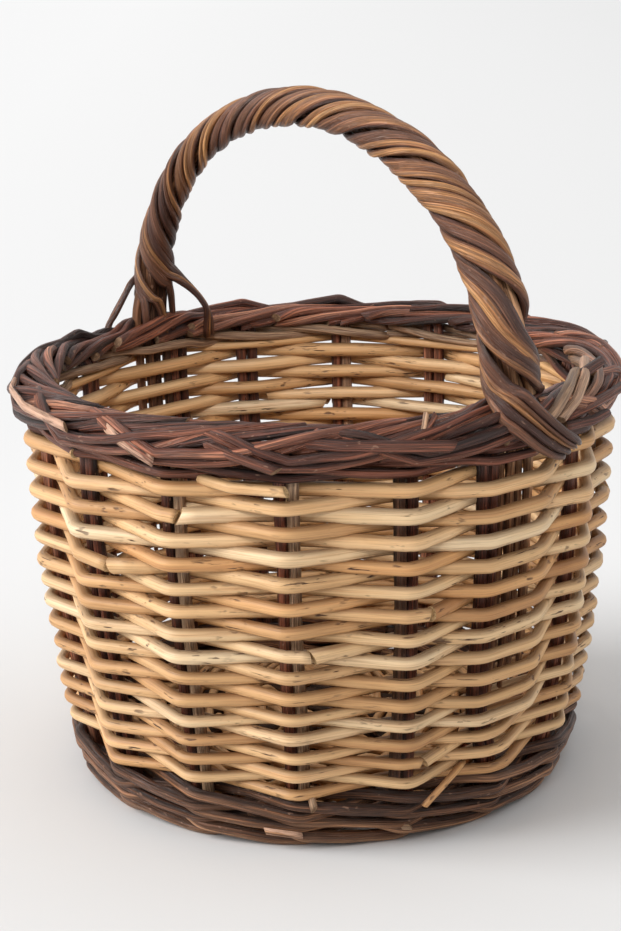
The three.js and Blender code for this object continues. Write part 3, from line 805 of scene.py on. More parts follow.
# %% [markdown]
# ## Uprights and border
# Each upright is a pair of rods. They are pushed into the base beside a spoke, kinked up, and at the top
# they are laid to the right: down over the outside of their neighbours, up across the top and inside,
# where they end. Laid one after another, the pairs make a border like a thick rope, and it lies lower round
# the back. A ring with a twisted pattern would be simpler, but no rod could be followed along it. So the
# two rods of a pair are swept side by side along one path, each with its own sway, and stay loose as real
# ones do. Beside the handle the border opens to let it through.

# %% Sizes of the border
BORDER_ROD_D = 4.9
BORDER_OUT = 2.0  # the border's middle lies this far outside the wall
BORDER_FLATTEN = (1.25, 0.72)  # its thickness and height against a round one
BORDER_START = -math.pi / 4
BORDER_SPAN = 2.7  # uprights that a laid pair passes
BOW_LEG_W = 13.0  # the handle's leg beside an upright
BOW_TIP_Z = 66.0
ASIDE_FROM_Z = 26.0  # from here an upright leans aside for the handle
OPEN_RUN = (9.0, 26.0)  # the border is open for the handle up to the first distance, and closed at the second
OPEN_THICK = 2.4
OPEN_HIGH = 4.6
OPEN_SQUEEZE = 0.24
BACK_K = 6.28  # the place of the back, counted in uprights
BACK_DROP = 2.5
BACK_LOW = 0.5

BORDER_ROD_R = BORDER_ROD_D / 2
BORDER_R = WALL_TOP_R + BORDER_OUT
BORDER_PAIR_HALF = PAIR_HALF / STAKE_R * BORDER_ROD_R
LOOP = 4 * (2 * BORDER_PAIR_HALF + 3 * GAP) / (2 * math.pi)
LOOP_THICK = BORDER_FLATTEN[0] * LOOP
LOOP_HIGH = BORDER_FLATTEN[1] * LOOP
BORDER_Z = WALL_TOP_Z + LOOP_HIGH + BORDER_ROD_R + 3 * GAP
BORDER_TOP_Z = BORDER_Z + LOOP_HIGH + BORDER_ROD_R
HANDLE_SHIFT = PAIR_HALF + BOW_LEG_W / 2 + GAP
print(f"border: middle at {BORDER_Z:.1f} mm and top at {BORDER_TOP_Z:.1f} mm")

# %% Places in the border


def holds_handle(k):
    return k % (ENDS // 2) == 0


def pair_shift(k, z):
    """How far upright k leans aside at a height, to leave room for the handle's leg."""
    if not holds_handle(k):
        return 0.0
    return -HANDLE_SHIFT * smooth((z - ASIDE_FROM_Z) / (BOW_TIP_Z - ASIDE_FROM_Z - GAP))


def at_back(k):
    """How far stake k is round the back, where the border lies lower than in front."""
    return smooth((math.cos((k - BACK_K) * STEP) - 0.1) / 0.5)


def border_loop(angle):
    along = abs(math.asin(math.sin(angle))) * BORDER_R
    near = 1 - smooth((along - OPEN_RUN[0]) / (OPEN_RUN[1] - OPEN_RUN[0]))
    low = 1 - BACK_LOW * at_back(angle / STEP) * (1 - near)
    return LOOP_THICK + OPEN_THICK * near, low * LOOP_HIGH + OPEN_HIGH * near, 1 - OPEN_SQUEEZE * near


def border_station(k, t):
    angle = (k + t) * STEP
    thick, high, squeeze = border_loop(angle)
    turn = BORDER_START + math.pi / 2 * t
    middle = 0 if turn < math.pi / 2 else math.pi
    lap = middle + (turn - middle) * squeeze
    middle_z = BORDER_Z - BACK_DROP * at_back(angle / STEP)
    at = around(angle, BORDER_R + thick * math.cos(lap), middle_z + high * math.sin(lap))
    out = facing(angle, math.cos(lap) / thick, math.sin(lap) / high).normalized()
    return station(at, out, BORDER_ROD_R)


print(f"the border lies {BACK_DROP * at_back(BACK_K):.1f} mm lower at the back")

# %% Paths of the uprights
KINK_OUT = 0.35
KINK_LEAN = 1.6
WALL_PARTS = (0.12, 0.25, 0.4, 0.55, 0.7, 0.85)
LAPS = (0.5, 0.7, 0.9, 1.1, 1.3, 1.5, 1.7, 1.95, 2.2, 2.45, BORDER_SPAN)


def stake_path(k):
    angle = k * STEP
    laid_after, corner_up = (0.37, 1) if holds_handle(k) else (0.17, -2)

    def on_wall(z):
        r, _, nr, nz = wall_at(z)
        return station(around(angle, r, z, pair_shift(k, z)), facing(angle, nr, nz), STAKE_R)

    def on_bend(turn):
        r, z, nr, nz = bend_at(turn)
        return station(around(angle, r, z), facing(angle, nr, nz), STAKE_R)

    r, z, nr, nz = base_at(STAKE_BUTT_R)
    shift = pair_shift(k, WALL_TOP_Z)
    lead = shift / (BORDER_R * STEP)
    laid = border_station(k, lead + laid_after)
    laid_r = math.hypot(laid[0].x, laid[0].y)
    corner_r = WALL_TOP_R + KINK_OUT * (laid_r - WALL_TOP_R)
    corner = around(angle, corner_r, laid[0].z + corner_up, shift + KINK_LEAN)
    return [
        station(around(angle, r, z), facing(angle, nr, nz), STAKE_R),
        on_bend(BASE_ANGLE),
        on_bend((BASE_ANGLE + WALL_ANGLE) / 2),
        on_bend(WALL_ANGLE),
        *[on_wall(WALL_FOOT_Z + part * WALL_RISE) for part in WALL_PARTS],
        on_wall(WALL_TOP_Z - BORDER_ROD_R / 2),
        station(corner, facing(angle, 1, 0), (STAKE_R + BORDER_ROD_R) / 2),
        laid,
        *[border_station(k, t) for t in LAPS],
    ]


def beside(path, i, spread):
    """The station beside number i of a path, spread rod radii to one side of it."""
    at, out, wide, deep = path[i]
    along = path[min(i + 1, len(path) - 1)][0] - path[max(i - 1, 0)][0]
    return at + along.cross(out).normalized() * spread * wide, out, wide, deep


print("stations of an upright:", len(stake_path(1)))

# %% [markdown]
# ### Loose rods and ends
# Hand work leaves stubs, splinters and peeled strips that stick out here and there. Each could be a piece of
# its own, but it grows out of a rod that is there already, so it joins that rod's piece. It is a short rod
# through a few places, each given as a stake number, a radius and a height.

# %% Loose rods and ends


def loose_rod(points, radius, flat=1.0):
    stations = []
    for k, r, z in points:
        stations.append(station(around(k * STEP, r, z), facing(k * STEP, 1, 0), radius, flat * radius))
    return naturally(softened(stations, 3, 3), points[0][0], sway=0.2, swell=0.06, tip=0.95)


PINK = plain_tone(0.6, scraped=1.0)
BROWN = plain_tone(0.5)
DARK = plain_tone(0.3)
LIGHT = plain_tone(0.7, pale=0.8)
PALE = plain_tone(0.8, scraped=0.3, pale=0.9)
EXTRAS = {
    "stake_pair_12": [
        ([(10.75, 150, 207), (11.0, 153.5, 207), (11.5, 155.5, 205.8), (12.15, 155, 203.5)], PINK, 2.5, 0.5),
    ],
    "stake_pair_13": [([(12.5, 149, 206), (12.68, 153, 202.6), (13.02, 155.2, 195.3)], PINK, 2.6, 0.4)],
    "stake_pair_14": [([(13.4, 148, 204), (13.65, 153, 200.3), (13.97, 155.2, 194.4)], BROWN, 2.5)],
    "stake_pair_15": [
        ([(14.15, 147, 205), (14.43, 152, 204.5), (14.89, 154, 203), (15.27, 155, 200.8)], BROWN, 3.0),
        ([(15.06, 150, 203), (15.12, 147, 215)], LIGHT, 1.4),
        ([(15.02, 150, 203), (15.2, 147, 214)], BROWN, 1.6),
    ],
    "stake_pair_01": [
        ([(0.1, 152, 200), (0.3, 151.5, 206), (0.55, 148, 212.5), (0.95, 140, 215)], LIGHT, 2.7),
        ([(0.34, 152, 201), (0.6, 150.5, 207), (0.9, 146, 213.5), (1.3, 138, 216)], PALE, 2.5),
    ],
    "stake_pair_02": [
        ([(0.5, 147, 199), (0.8, 151, 201.5), (1.15, 154, 203), (1.45, 156.5, 203.5)], BROWN, 2.6),
        ([(0.75, 139, 208), (1.0, 143, 214), (1.25, 146.5, 216.5)], BROWN, 2.7),
        ([(0.45, 150, 196), (0.75, 154, 195.5), (0.95, 155.5, 196.5)], DARK, 2.4),
    ],
    "side_weaver_14": [
        ([(13.3, 140, 185), (13.6, 147.5, 184), (14.03, 151.5, 184)], buff_tone(0.7, 0.3), 2.7),
    ],
    "side_weaver_01": [
        (
            [
                (15.65, 126, 35), (15.55, 129, 33.8), (15.41, 134, 32.8),
                (15.29, 136.5, 29.6), (15.14, 136.5, 22.6),
            ],
            buff_tone(0.3, 0.3),
            1.7,
        ),
    ],
    "foot_wale_high_1": [([(14.12, 127, 30), (14.14, 131, 27.5), (14.16, 133.4, 24)], LIGHT, 1.9)],
    "foot_wale_low_2": [([(14.9, 122, 8.0), (14.98, 126, 8.5), (15.06, 129.5, 9.5)], LIGHT, 1.5)],
    "foot_wale_low_1": [([(13.68, 127.5, 9.5), (13.85, 128, 9), (14.03, 127.5, 7.8)], PINK, 1.8, 0.6)],
}


def with_extras(name, rods):
    return rods + [(loose_rod(points, *form), tone) for points, tone, *form in EXTRAS.get(name, ())]


print("loose rods and ends:", sum(len(extras) for extras in EXTRAS.values()))

# %% [markdown]
# ### Rods that bulk up the border
# A border is laid with more rods than the uprights alone. Two more come out from under the bundle on the
# left of each upright, kink, and run on beside the pair, and in front another lies low behind the next
# upright. They could be copies of the pair's path, but then they would lie inside it, so each follows a few
# places of its own, given as uprights along, out and up.

# %% Rods that bulk up the border
BY_RODS = [
    [
        (-0.75, 4.0, 4.6), (-0.48, 8.5, 3.4), (-0.22, 10.8, -3.0), (-0.02, 10.8, -9.0),
        (0.25, 10.4, -8.6), (0.55, 10.0, -7.2), (0.9, 10.2, -3.6), (1.2, 9.4, 1.2),
        (1.5, 6.4, 5.0), (1.85, 0.8, 6.0), (2.2, -5.4, 4.4),
    ],
    [
        (-0.7, 4.0, 5.6), (-0.4, 9.2, 4.4), (-0.14, 12.0, -0.4), (0.07, 12.6, -4.6),
        (0.3, 12.6, -3.8), (0.6, 12.6, -2.2), (0.9, 11.8, 1.4), (1.2, 9.2, 4.4),
        (1.5, 5.0, 6.2), (1.85, -0.6, 6.2), (2.1, -4.6, 4.4),
    ],
]
BACK_RODS = [
    [
        (-0.5, 2.0, 0.5), (-0.25, 4.0, 2.6), (-0.03, 4.5, 6.8), (0.3, 4.4, 5.4), (0.7, 3.0, 3.4),
        (1.1, 0.0, 2.4), (1.5, -4.0, 0.6), (1.8, -7.0, -1.4), (2.0, -8.0, -3.0),
    ],
    [
        (-0.35, 6.0, 0.0), (-0.15, 7.0, 2.2), (0.04, 7.2, 5.6), (0.35, 7.0, 4.2), (0.7, 6.0, 2.0),
        (1.1, 3.0, 1.6), (1.5, -1.0, 1.0), (1.8, -5.0, -1.0), (2.1, -8.0, -3.4),
    ],
]
UNDER_ROD = [
    (-0.2, 6.0, -7.6), (0.1, 3.5, -8.0), (0.5, -2.0, -7.0), (0.95, -7.5, -5.2), (1.3, -8.5, -3.6),
]
BY_CORNERS = [3, 6, 4, 1.5, 5, 8, 8, 8, 8, 8, 3]
BACK_CORNERS = [3, 5, 2, 6, 8, 8, 8, 8, 3]
UNDER_CORNER = 6


def border_rod(k, spots, corners, radius, rng):
    path = []
    for t, out, up in spots:
        angle = (k + t + rng.uniform(-0.05, 0.05)) * STEP
        z = BORDER_Z - BACK_DROP * at_back(angle / STEP) + up
        at = around(angle, BORDER_R + out + rng.uniform(-0.5, 0.5), z + rng.uniform(-0.8, 0.8))
        path.append(station(at, facing(angle, out, up).normalized(), radius))
    return naturally(softened(path, corners, 5), 90 + k + radius, sway=0.7, swell=0.08)


print("rods beside a pair:", len(BY_RODS), "in front and", len(BACK_RODS), "at the back")

# %% The sixteen pairs
stake_rng = random.Random(11)
PAIR_SPREAD = 1.04 * LOBE / STAKE_R
# How pale single rods are, by upright and rod: on the wall, and where they lie in the border.
PALE_RODS = {(14, 1): 0.9, (13, 1): 1.0, (2, 0): 0.6, (15, 0): 0.2, (10, 1): 0.7, (6, 0): 0.6}
PALE_LAID = {(0, 0): 0.5, (0, 1): 0.3}
IN_BORDER = 0.62  # share of a rod's length at which it leaves the wall


def loosely(t):
    """A pair sways more once it leaves the wall and lies in the border."""
    return 0.8 + 1.0 * smooth((t - IN_BORDER) / 0.1)


def stake_tone(shade, pale, laid):
    """A rod may be pale on the wall and dark in the border, or the other way round."""

    def tone(t, spot):
        high = smooth((t - 0.5) / 0.06)
        # Painted shade: in the border the hollows between rods are darkened, and on the wall the edges where
        # rods touch; the pale dims there too.
        dark = hollow(spot) if t > IN_BORDER else 0.7 * edge(spot)
        light = pale * (1 - high) + laid * smooth((t - 0.68) / 0.04)
        return shade - 0.5 * dark, 0.0, light * (1 - PALE_HOLLOW_SHADE * dark), 1.0

    return tone


def stake_rods(k):
    path = softened(stake_path(k), 4.0, 5)
    rods = []
    for j, side in enumerate((-1, 1)):
        rod = [beside(path, i, side * PAIR_SPREAD) for i in range(len(path))]
        shade = stake_rng.uniform(0.15, 0.85)
        tone = stake_tone(shade, PALE_RODS.get((k, j), 0.0), PALE_LAID.get((k, j), 0.0))
        rods.append((naturally(rod, 3 * k + 50 + j, loosely, swell=0.08, butt=1.05), tone))
    return rods


def bulking_rods(k):
    far = at_back(k) > 0.5
    by_rods, corners = (BACK_RODS, BACK_CORNERS) if far else (BY_RODS, BY_CORNERS)
    rods = []
    for spots in [] if holds_handle(k) else by_rods:
        radius = BORDER_ROD_R * stake_rng.uniform(0.86, 1.05)
        by_rod = border_rod(k, spots, corners, radius, stake_rng)
        rods.append((by_rod, plain_tone(stake_rng.uniform(0.1, 0.9))))
    if not far:
        low = border_rod(k, UNDER_ROD, UNDER_CORNER, 0.95 * BORDER_ROD_R, stake_rng)
        rods.append((low, plain_tone(stake_rng.uniform(0.1, 0.6))))
    return rods


for k in range(ENDS):
    name = f"stake_pair_{k + 1:02d}"
    rods = with_extras(name, stake_rods(k) + bulking_rods(k))
    rod_piece(name, rods, 10, stake_bark, "stakes", seed=100 + k, lean=0.7)
print("stake pairs:", ENDS)

# %% [markdown]
# ## Wales at the foot and under the border
# A wale is a round of three rods worked together: each passes outside two uprights and inside the third,
# so the round grips hard and looks like a rope. Two rounds of dark rods make the foot, with thinner rods
# filled in between them, and one more round closes the side below the border. A twisted ring would look
# much the same from far off, but it would not pass behind the uprights, so each rod is laid in and out.

# %% Three rods to a round
WALE_SEAM = 5  # the upright after which each round starts
CORE_LEG = (-4.2, 1.4, 7.0, 12.4)  # where the four rods of the handle's bow stand beside an upright
BETWEEN = (0.9, -0.3)  # how far out a rod lies between two uprights, as a share of its reach


def stake_spots(k, z):
    """Where a rod has to pass something at upright k: once at a plain pair, twice beside the handle."""
    if not holds_handle(k):
        return [0.0]
    pair = pair_shift(k, z)
    far = CORE_LEG[-1] - 0.5 if z > BOW_TIP_Z - ROW_PITCH else pair + LOBE
    return [pair - LOBE, far]


def wale_path(j, place, d):
    reach, half = wale_reach(d), wale_half(d)
    at_stake = [(reach, half), (reach, -half), (-reach, 0)]
    between = [(BETWEEN[0] * reach, 0), (BETWEEN[1] * reach, -half), (BETWEEN[1] * reach, half)]

    def state(k):
        return (k + 3 * ENDS - j) % 3

    def middle(k):
        off, up = between[state(k)]
        return woven(k + 0.5, place, off, d, 0.0, up)

    path = [middle(WALE_SEAM)]
    for k in range(WALE_SEAM + 1, WALE_SEAM + ENDS + 1):
        off, up = at_stake[state(k)]
        path += [woven(k, place, off, d, shift, up) for shift in stake_spots(k, place[1])]
        path.append(middle(k))
    return path


print("stations of a wale rod:", len(wale_path(0, wall_at(RIM_WALE_Z), RIM_WALE_D)))

# %% The three rounds
RIM_LIFT = 2.6
RIM_PALE = 0.65
WALE_EDGE_SHADE = 0.65
MID_ROUND = math.radians(72)  # the thinner rods of the foot, by their place on the bend
MID_ROUND_D = 4.9
ROUNDS = [
    ("foot_wale_low", bend_at(FOOT_WALE_TILT), FOOT_WALE_D, foot_bark, "foot_wale"),
    ("foot_wale_high", wall_at(WALL_FOOT_Z + FOOT_ROUND_RISE), FOOT_WALE_D, foot_bark, "foot_wale"),
    ("rim_wale", wall_at(RIM_WALE_Z), RIM_WALE_D, rim_bark, "rim_wale"),
]
wale_rng = random.Random(23)


def raised(path):
    """Round the back the rim's round is beaten up against the border."""
    lifted_path = []
    for at, out, wide, deep in path:
        lift = RIM_LIFT * at_back(math.atan2(at.y, at.x) / STEP)
        lifted_path.append((at + Vector((0, 0, lift)), out, wide, deep))
    return lifted_path


def wale_tone(shade, worn):
    """A worn rod is pale over its first quarter and its end."""

    def tone(t, spot):
        light = worn * (1 - smooth((t - 0.28) / 0.06) + smooth((t - 0.85) / 0.06))
        # Painted shade at the edges, where the rods of a round touch.
        return shade - WALE_EDGE_SHADE * edge(spot), 0.0, light, 1.0

    return tone


for round_name, place, d, finish, slot in ROUNDS:
    at_rim = round_name == "rim_wale"
    for j in range(3):
        name = f"{round_name}_{j + 1}"
        seed = 200 + 10 * j + len(round_name)
        path = softened(wale_path(j, place, d), 4, 6)
        path = naturally(path, seed, sway=1.3, swell=0.1, butt=1.04, tip=0.86)
        path = grounded(raised(path) if at_rim else path)
        rods = [(path, wale_tone(wale_rng.uniform(0.15, 0.75), RIM_PALE if at_rim else 0.0))]
        if round_name == "foot_wale_high":
            thin = softened(wale_path(j + 1, bend_at(MID_ROUND), MID_ROUND_D), 4, 6)
            thin = naturally(thin, seed + 5, sway=1.3, swell=0.1)
            rods.append((thin, plain_tone(wale_rng.uniform(0.15, 0.75))))
        rod_piece(name, with_extras(name, rods), 12, finish, slot, seed=seed, lean=0.6)
print("wale rods:", 3 * len(ROUNDS))

# %% [markdown]
# ## The side weave
# One buff rod at a time goes round twice, outside one upright and inside the next. The row above takes
# the other side, so the rows cross between the uprights. The bends are short, because a soaked rod kinks
# round the pair, and the stretches between stay nearly straight. Rods are thicker higher up, so the rows
# grow a little. A rod that runs out is joined by laying the next one beside its end, and first and last ends
# are tucked in. A smooth wave round the wall would be simpler, but it would lose these kinks and joins.

# %% Rows of the side
ROW_GROWTH = 0.15
LIFT = 1.5  # how far rows ride up and down together, and each on its own
LIFT_ALONE = 0.5


def row_edge(row):
    return SIDE_FOOT_Z + ROW_PITCH * row * (1 - ROW_GROWTH + ROW_GROWTH * row / SIDE_ROWS)


def lifted(row, angle):
    """Rows ride up and down together a little, because each is beaten down on the one below."""
    together = noise.noise(Vector((2.0 * math.cos(angle), 2.0 * math.sin(angle), 0.2 * row)))
    alone = noise.noise(Vector((3.0 * math.cos(angle), 3.0 * math.sin(angle), 5.3 * row + 40)))
    return LIFT * together + LIFT_ALONE * alone


def row_place(row, angle):
    """The place on the wall and the rod's thickness in a row."""
    d = row_edge(row + 1) - row_edge(row) - ROW_AIR
    return wall_at((row_edge(row) + row_edge(row + 1)) / 2 + lifted(row, angle)), d


def reaches(k, r, clear):
    """How far out and in a rod swings to clear upright k and stay straight to the next."""
    across = r * math.sin(STEP) - (HANDLE_SHIFT + PAIR_HALF if holds_handle(k + 1) else 0)
    sag = r * (1 - math.cos(STEP))
    outer = inner = clear
    for _ in range(4):
        out_turn = math.atan((outer + inner + sag) / across)
        in_turn = max(0.0, math.atan((outer + inner - sag) / across))
        outer = clear / math.cos(out_turn) + LOBE * math.tan(out_turn)
        inner = clear / math.cos(in_turn) + LOBE * math.tan(in_turn)
    return outer, inner


first_d, last_d = row_place(0, 0)[1], row_place(SIDE_ROWS - 1, 0)[1]
print(f"rods of the side: {first_d:.1f} mm thick in the first row, {last_d:.1f} mm in the last")

# %% One side weaver
SIDE_STARTS = (4, 2, 6)  # the uprights at which weavers start in turn
ROD_TAIL = 7.0  # a rod's end runs this far past its upright
PRESSED = (0.92, 0.8)  # share of the reach outside and inside, as pressed rods lie closer
TUCK_OFF = -2.5
TUCK_SHIFT = 10.0
LONG_BEND = 8.0
# Further joins, by row and upright: how far past the upright the old rod ends.
JOINS = {(25, 13): 6.0, (20, 12): 23.0, (3, 15): 7.0, (14, 14): 9.0, (17, 15): 8.0, (9, 12): 8.0}
side_rng = random.Random(37)


def side_weaver(n):
    """Stations and corner lengths of each rod in a weaver's two rounds."""
    start = SIDE_STARTS[n % len(SIDE_STARTS)]
    rods = [([], [])]

    def row_of(i):
        return 2 * n + (1 if i > ENDS else 0)

    def row_pass(i, shift=None, press=0.0):
        k = start + i
        row = row_of(i)
        place, d = row_place(row, k * STEP)
        outer, inner = reaches(k, place[0], STAKE_R + d / 2 + GAP)
        outside = (k + row) % 2 == 0
        off = PRESSED[0] * outer + side_rng.uniform(0, 0.8) + press if outside else -PRESSED[1] * inner
        spots = stake_spots(k, place[1]) if shift is None else [shift]
        corners = [LONG_BEND] * len(spots)
        if outside and shift is None:
            spots = [spots[0] - 2.4, spots[-1] + 2.8]
            corners = [side_rng.uniform(1.2, 4.0), side_rng.uniform(4.0, 8.0)]
        path, bends = rods[-1]
        path.extend(woven(k, place, off, d, spot) for spot in spots)
        bends.extend(corners)

    def tuck(i, shift):
        """A rod's end is tucked in behind the rods beside it."""
        place, d = row_place(row_of(i), (start + i) * STEP)
        path, bends = rods[-1]
        path.append(woven(start + i, place, TUCK_OFF, 0.85 * d, shift))
        bends.append(LONG_BEND)

    tuck(0, TUCK_SHIFT)
    row_pass(1, -ROD_TAIL)
    for i in range(1, 2 * ENDS + 1):
        row_pass(i)
        tail = ROD_TAIL if i == ENDS else JOINS.get((row_of(i), (start + i) % ENDS))
        if tail:
            row_pass(i, tail, 0.5)
            rods.append(([], []))
            row_pass(i, tail + 0.9, -0.4)
    row_pass(2 * ENDS, ROD_TAIL)
    tuck(2 * ENDS + 1, -TUCK_SHIFT)
    return rods


print("joins along the side:", SIDE_RODS + len(JOINS))

# %% Fourteen side weavers
TOP_ROW = (1, 12)  # the uprights between which a short row fills up the back
TOP_ROW_D = 4.8


def top_row():
    """A short thin rod that fills the back between the last row and the round at the rim."""
    path = []
    for k in range(TOP_ROW[0], TOP_ROW[1] + 1):
        place = wall_at(row_edge(SIDE_ROWS) + TOP_ROW_D / 2 + 0.3)
        outer, inner = reaches(k, place[0], STAKE_R + TOP_ROW_D / 2 + GAP)
        off = PRESSED[0] * outer if k % 2 == 0 else -PRESSED[1] * inner
        path += [woven(k, place, off, TOP_ROW_D, shift) for shift in stake_spots(k, place[1])]
    return naturally(softened(path, 8, 9), 331, sway=0.5, swell=0.07)


rod_count = 0
for n in range(SIDE_RODS):
    rods = []
    for j, (stations, bends) in enumerate(side_weaver(n)):
        path = softened(stations, bends, 9)
        butt, tip = side_rng.uniform(1.2, 1.34), side_rng.uniform(1.04, 1.16)
        rod = naturally(path, 300 + n + 0.37 * j, 0.6, 0.07, butt, tip)
        shade = side_rng.uniform(0.05, 0.95)
        warm = max(0.0, side_rng.uniform(-0.5, 0.6))
        rods.append((rod, buff_tone(shade, warm)))
    if n == SIDE_RODS - 1:
        rods.append((top_row(), buff_tone(0.5, 0.3)))
    rod_count += len(rods)
    name = f"side_weaver_{n + 1:02d}"
    rod_piece(name, with_extras(name, rods), 12, side_buff, "side_weave", seed=300 + n, lean=0.5)
print("side weavers:", SIDE_RODS, "of", rod_count, "rods")

# %% [markdown]
# ## The handle
# A bow of four stout rods is pushed down beside two uprights, and long rods are wound along it from one side
# of the basket to the other. They lie side by side and lean one way, like the strands of a rope, and some
# are two thin rods in one place. The handle is thickest at the right foot, where the rods gather into two
# bands that cross over the border. At the left foot most run straight down, and two loop over the border.
# A twisted tube would be one shape, but its strands could not part at the feet, so each rod is wound on its
# own round the arch.

# %% The arch
ROPE_COUNT = 8
ROPE_D = 4.9
HANDLE_RISE = 122.3
ARCH_Z = BORDER_TOP_Z + OPEN_HIGH + ROPE_D
ARCH_RISE = BORDER_TOP_Z + HANDLE_RISE - ARCH_Z
ARCH_STEPS = 60
# Outer radius of the handle and half the depth of its rods, from the right foot (0) to the left foot (1).
GIRTH = [(0.0, 14.0), (0.25, 11.8), (0.5, 10.0), (0.7, 8.9), (0.84, 9.2), (1.0, 11.5)]
ROD_DEEP = [(0.0, 2.4), (0.5, 2.0), (1.0, 1.75)]


def read(table, u):
    for (a, low), (b, high) in zip(table, table[1:]):
        if u <= b:
            return low + (high - low) * smooth((u - a) / (b - a))
    return table[-1][1]


def arch_at(u):
    t = math.pi * u
    at = Vector((BORDER_R * math.cos(t), 0, ARCH_Z + ARCH_RISE * math.sin(t)))
    out = Vector((ARCH_RISE * math.cos(t), 0, BORDER_R * math.sin(t))).normalized()
    return at, out


ARCH = [arch_at(i / ARCH_STEPS)[0] for i in range(ARCH_STEPS + 1)]
ARCH_LENGTH = sum((a - b).length for a, b in zip(ARCH, ARCH[1:]))
print(f"the arch is {ARCH_LENGTH:.0f} mm long")

# %% Four rods of the bow
CORE_ARCH = ((-2.3, -2.1), (-2.3, 2.1), (2.3, -2.1), (2.3, 2.1))
CORE_ROD_R = 2.4
CORE_R = 5.3
CORE_STEPS = 28
TIP_STEP = 4


def core_rod(j):
    """One of four rods of the bow: up one wall, over in a bundle and down the other."""

    def leg(angle):
        def at(r, z, size=1.0):
            r += 0.9 if j % 2 else -0.6
            return station(around(angle, r, z, CORE_LEG[j]), facing(angle, 1, 0), size * CORE_ROD_R)

        tip = BOW_TIP_Z + TIP_STEP * j
        heights = (tip + 20, (tip + WALL_TOP_Z) / 2, WALL_TOP_Z)
        in_wall = [at(wall_at(z)[0], z) for z in heights]
        return [at(wall_at(tip)[0], tip, 0.5), *in_wall, at(BORDER_R, BORDER_TOP_Z)]

    arch = []
    for step in range(1, CORE_STEPS):
        u = step / CORE_STEPS
        at, out = arch_at(u)
        swell = (read(GIRTH, u) - 2 * read(ROD_DEEP, u)) / CORE_R
        across, through = CORE_ARCH[j]
        at = at + Vector((0, across * math.cos(math.pi * u), 0)) * swell + out * through * swell
        arch.append(station(at, out, CORE_ROD_R * swell))
    return softened(leg(0) + arch + leg(math.pi)[::-1], 6, 6)


core = []
for j in range(len(CORE_LEG)):
    core.append((naturally(core_rod(j), 400 + j, sway=0.5), plain_tone(0.5 + 0.12 * j)))
rod_piece("handle_bow", core, 12, core_bark, "handle_bow", seed=400)
print("rods of the bow:", len(core))

# %% Feet of the wound rods
# Where the rods run on from the winding, as (along the rim, out, height): at the right foot in two bands
# over the border, at the left foot mostly straight down, with two that loop over the border.
RIGHT_FEET = {
    1: [(14, -3, 221), (17.5, -8, 216), (19, -13, 209), (19, -15, 199)],
    -1: [
        (-10, 12, 213), (-5, 17.5, 206), (3, 19.5, 199),
        (12, 19.5, 193), (20, 17.5, 189.5), (26, 12, 187.5),
    ],
}
LOOP_OVER = [
    (11, -8.5, 230), (16, -10, 225), (20.5, -12.5, 219),
    (24, -15.5, 212), (25, -16, 204), (25, -15, 196),
]
LEFT_FEET = {
    0: [(-3.5, -8.5, 219), (-1, -8.5, 211), (0.5, -7.5, 203), (1, -6, 192)],
    1: [(-9.5, -4, 220), (-9.5, -5, 212), (-9, -5, 203), (-9, -4, 192)],
    2: [(-11, 6, 228), (-16, 6, 221), (-21, 7, 213), (-25, 9, 206), (-27, 10, 196)],
    3: [(-6, 7, 220), (-6, 7, 212), (-6, 6, 203), (-6, 5, 192)],
    4: [(10, 0, 226), (10.5, -1, 217), (10.5, -2, 207), (10, -2, 194)],
    5: LOOP_OVER,
    6: LOOP_OVER,
    7: [(3.5, -9, 228), (6, -8, 220), (7, -7, 211), (7, -6, 202), (6.5, -5, 192)],
}
LEAVES_EARLY = {2: 2, 4: 2, 5: 4, 6: 3, 7: 2}  # steps of the winding that a rod leaves out at the left
BAND_PITCH = {1: 5.2, -1: 5.6}
BAND_NARROWS = 0.08


def rope_foot(side, foot, place, share):
    spots = []
    for along, out, z in foot:
        at = Vector((side * (BORDER_R + out), along, z))
        high = smooth((z - BORDER_Z - 1) / 6)
        middle = Vector((side * BORDER_R, 0.8 * along * (1 - high), BORDER_Z + (z - BORDER_Z) * high))
        spots.append((at, (at - middle).normalized()))
    path = []
    for i, (at, out) in enumerate(spots):
        ahead = spots[min(i + 1, len(spots) - 1)][0] - spots[max(i - 1, 0)][0]
        across = ahead.cross(out).normalized()
        pull = BAND_PITCH[side] * (1 - BAND_NARROWS * i)
        deep = read(ROD_DEEP, 1 if side < 0 else 0)
        path.append(station(at - side * place * pull * across, out, 0.48 * share * pull, deep))
    return path


print("ways down at the left foot:", len(LEFT_FEET))

# %% Winding
LAY_TURNS = 4.5
BIND_TURNS = 0.12  # an extra twist that one band takes near the right foot
BIND_AT = 0.05
BIND_RUN = 0.045
ROPE_STEPS = round(LAY_TURNS * 16)
# A rod's strands, as places aside of its own, and how far each rod stands proud of the rest.
STRANDS = ((-0.25, 0.25), (0,), (-0.25, 0.25), (0,), (0,), (0,), (-0.25, 0.25), (0,))
PROUD = (0.3, -0.3, 0.5, -0.2, 0.4, -0.4, 0.1, 0.3)
COVER = 1.1
WANDER = 0.4


def gathered(u):
    """The rods draw together into two bands near each foot."""
    return 1 - smooth((min(u, 1 - u) - 0.05) / 0.1)


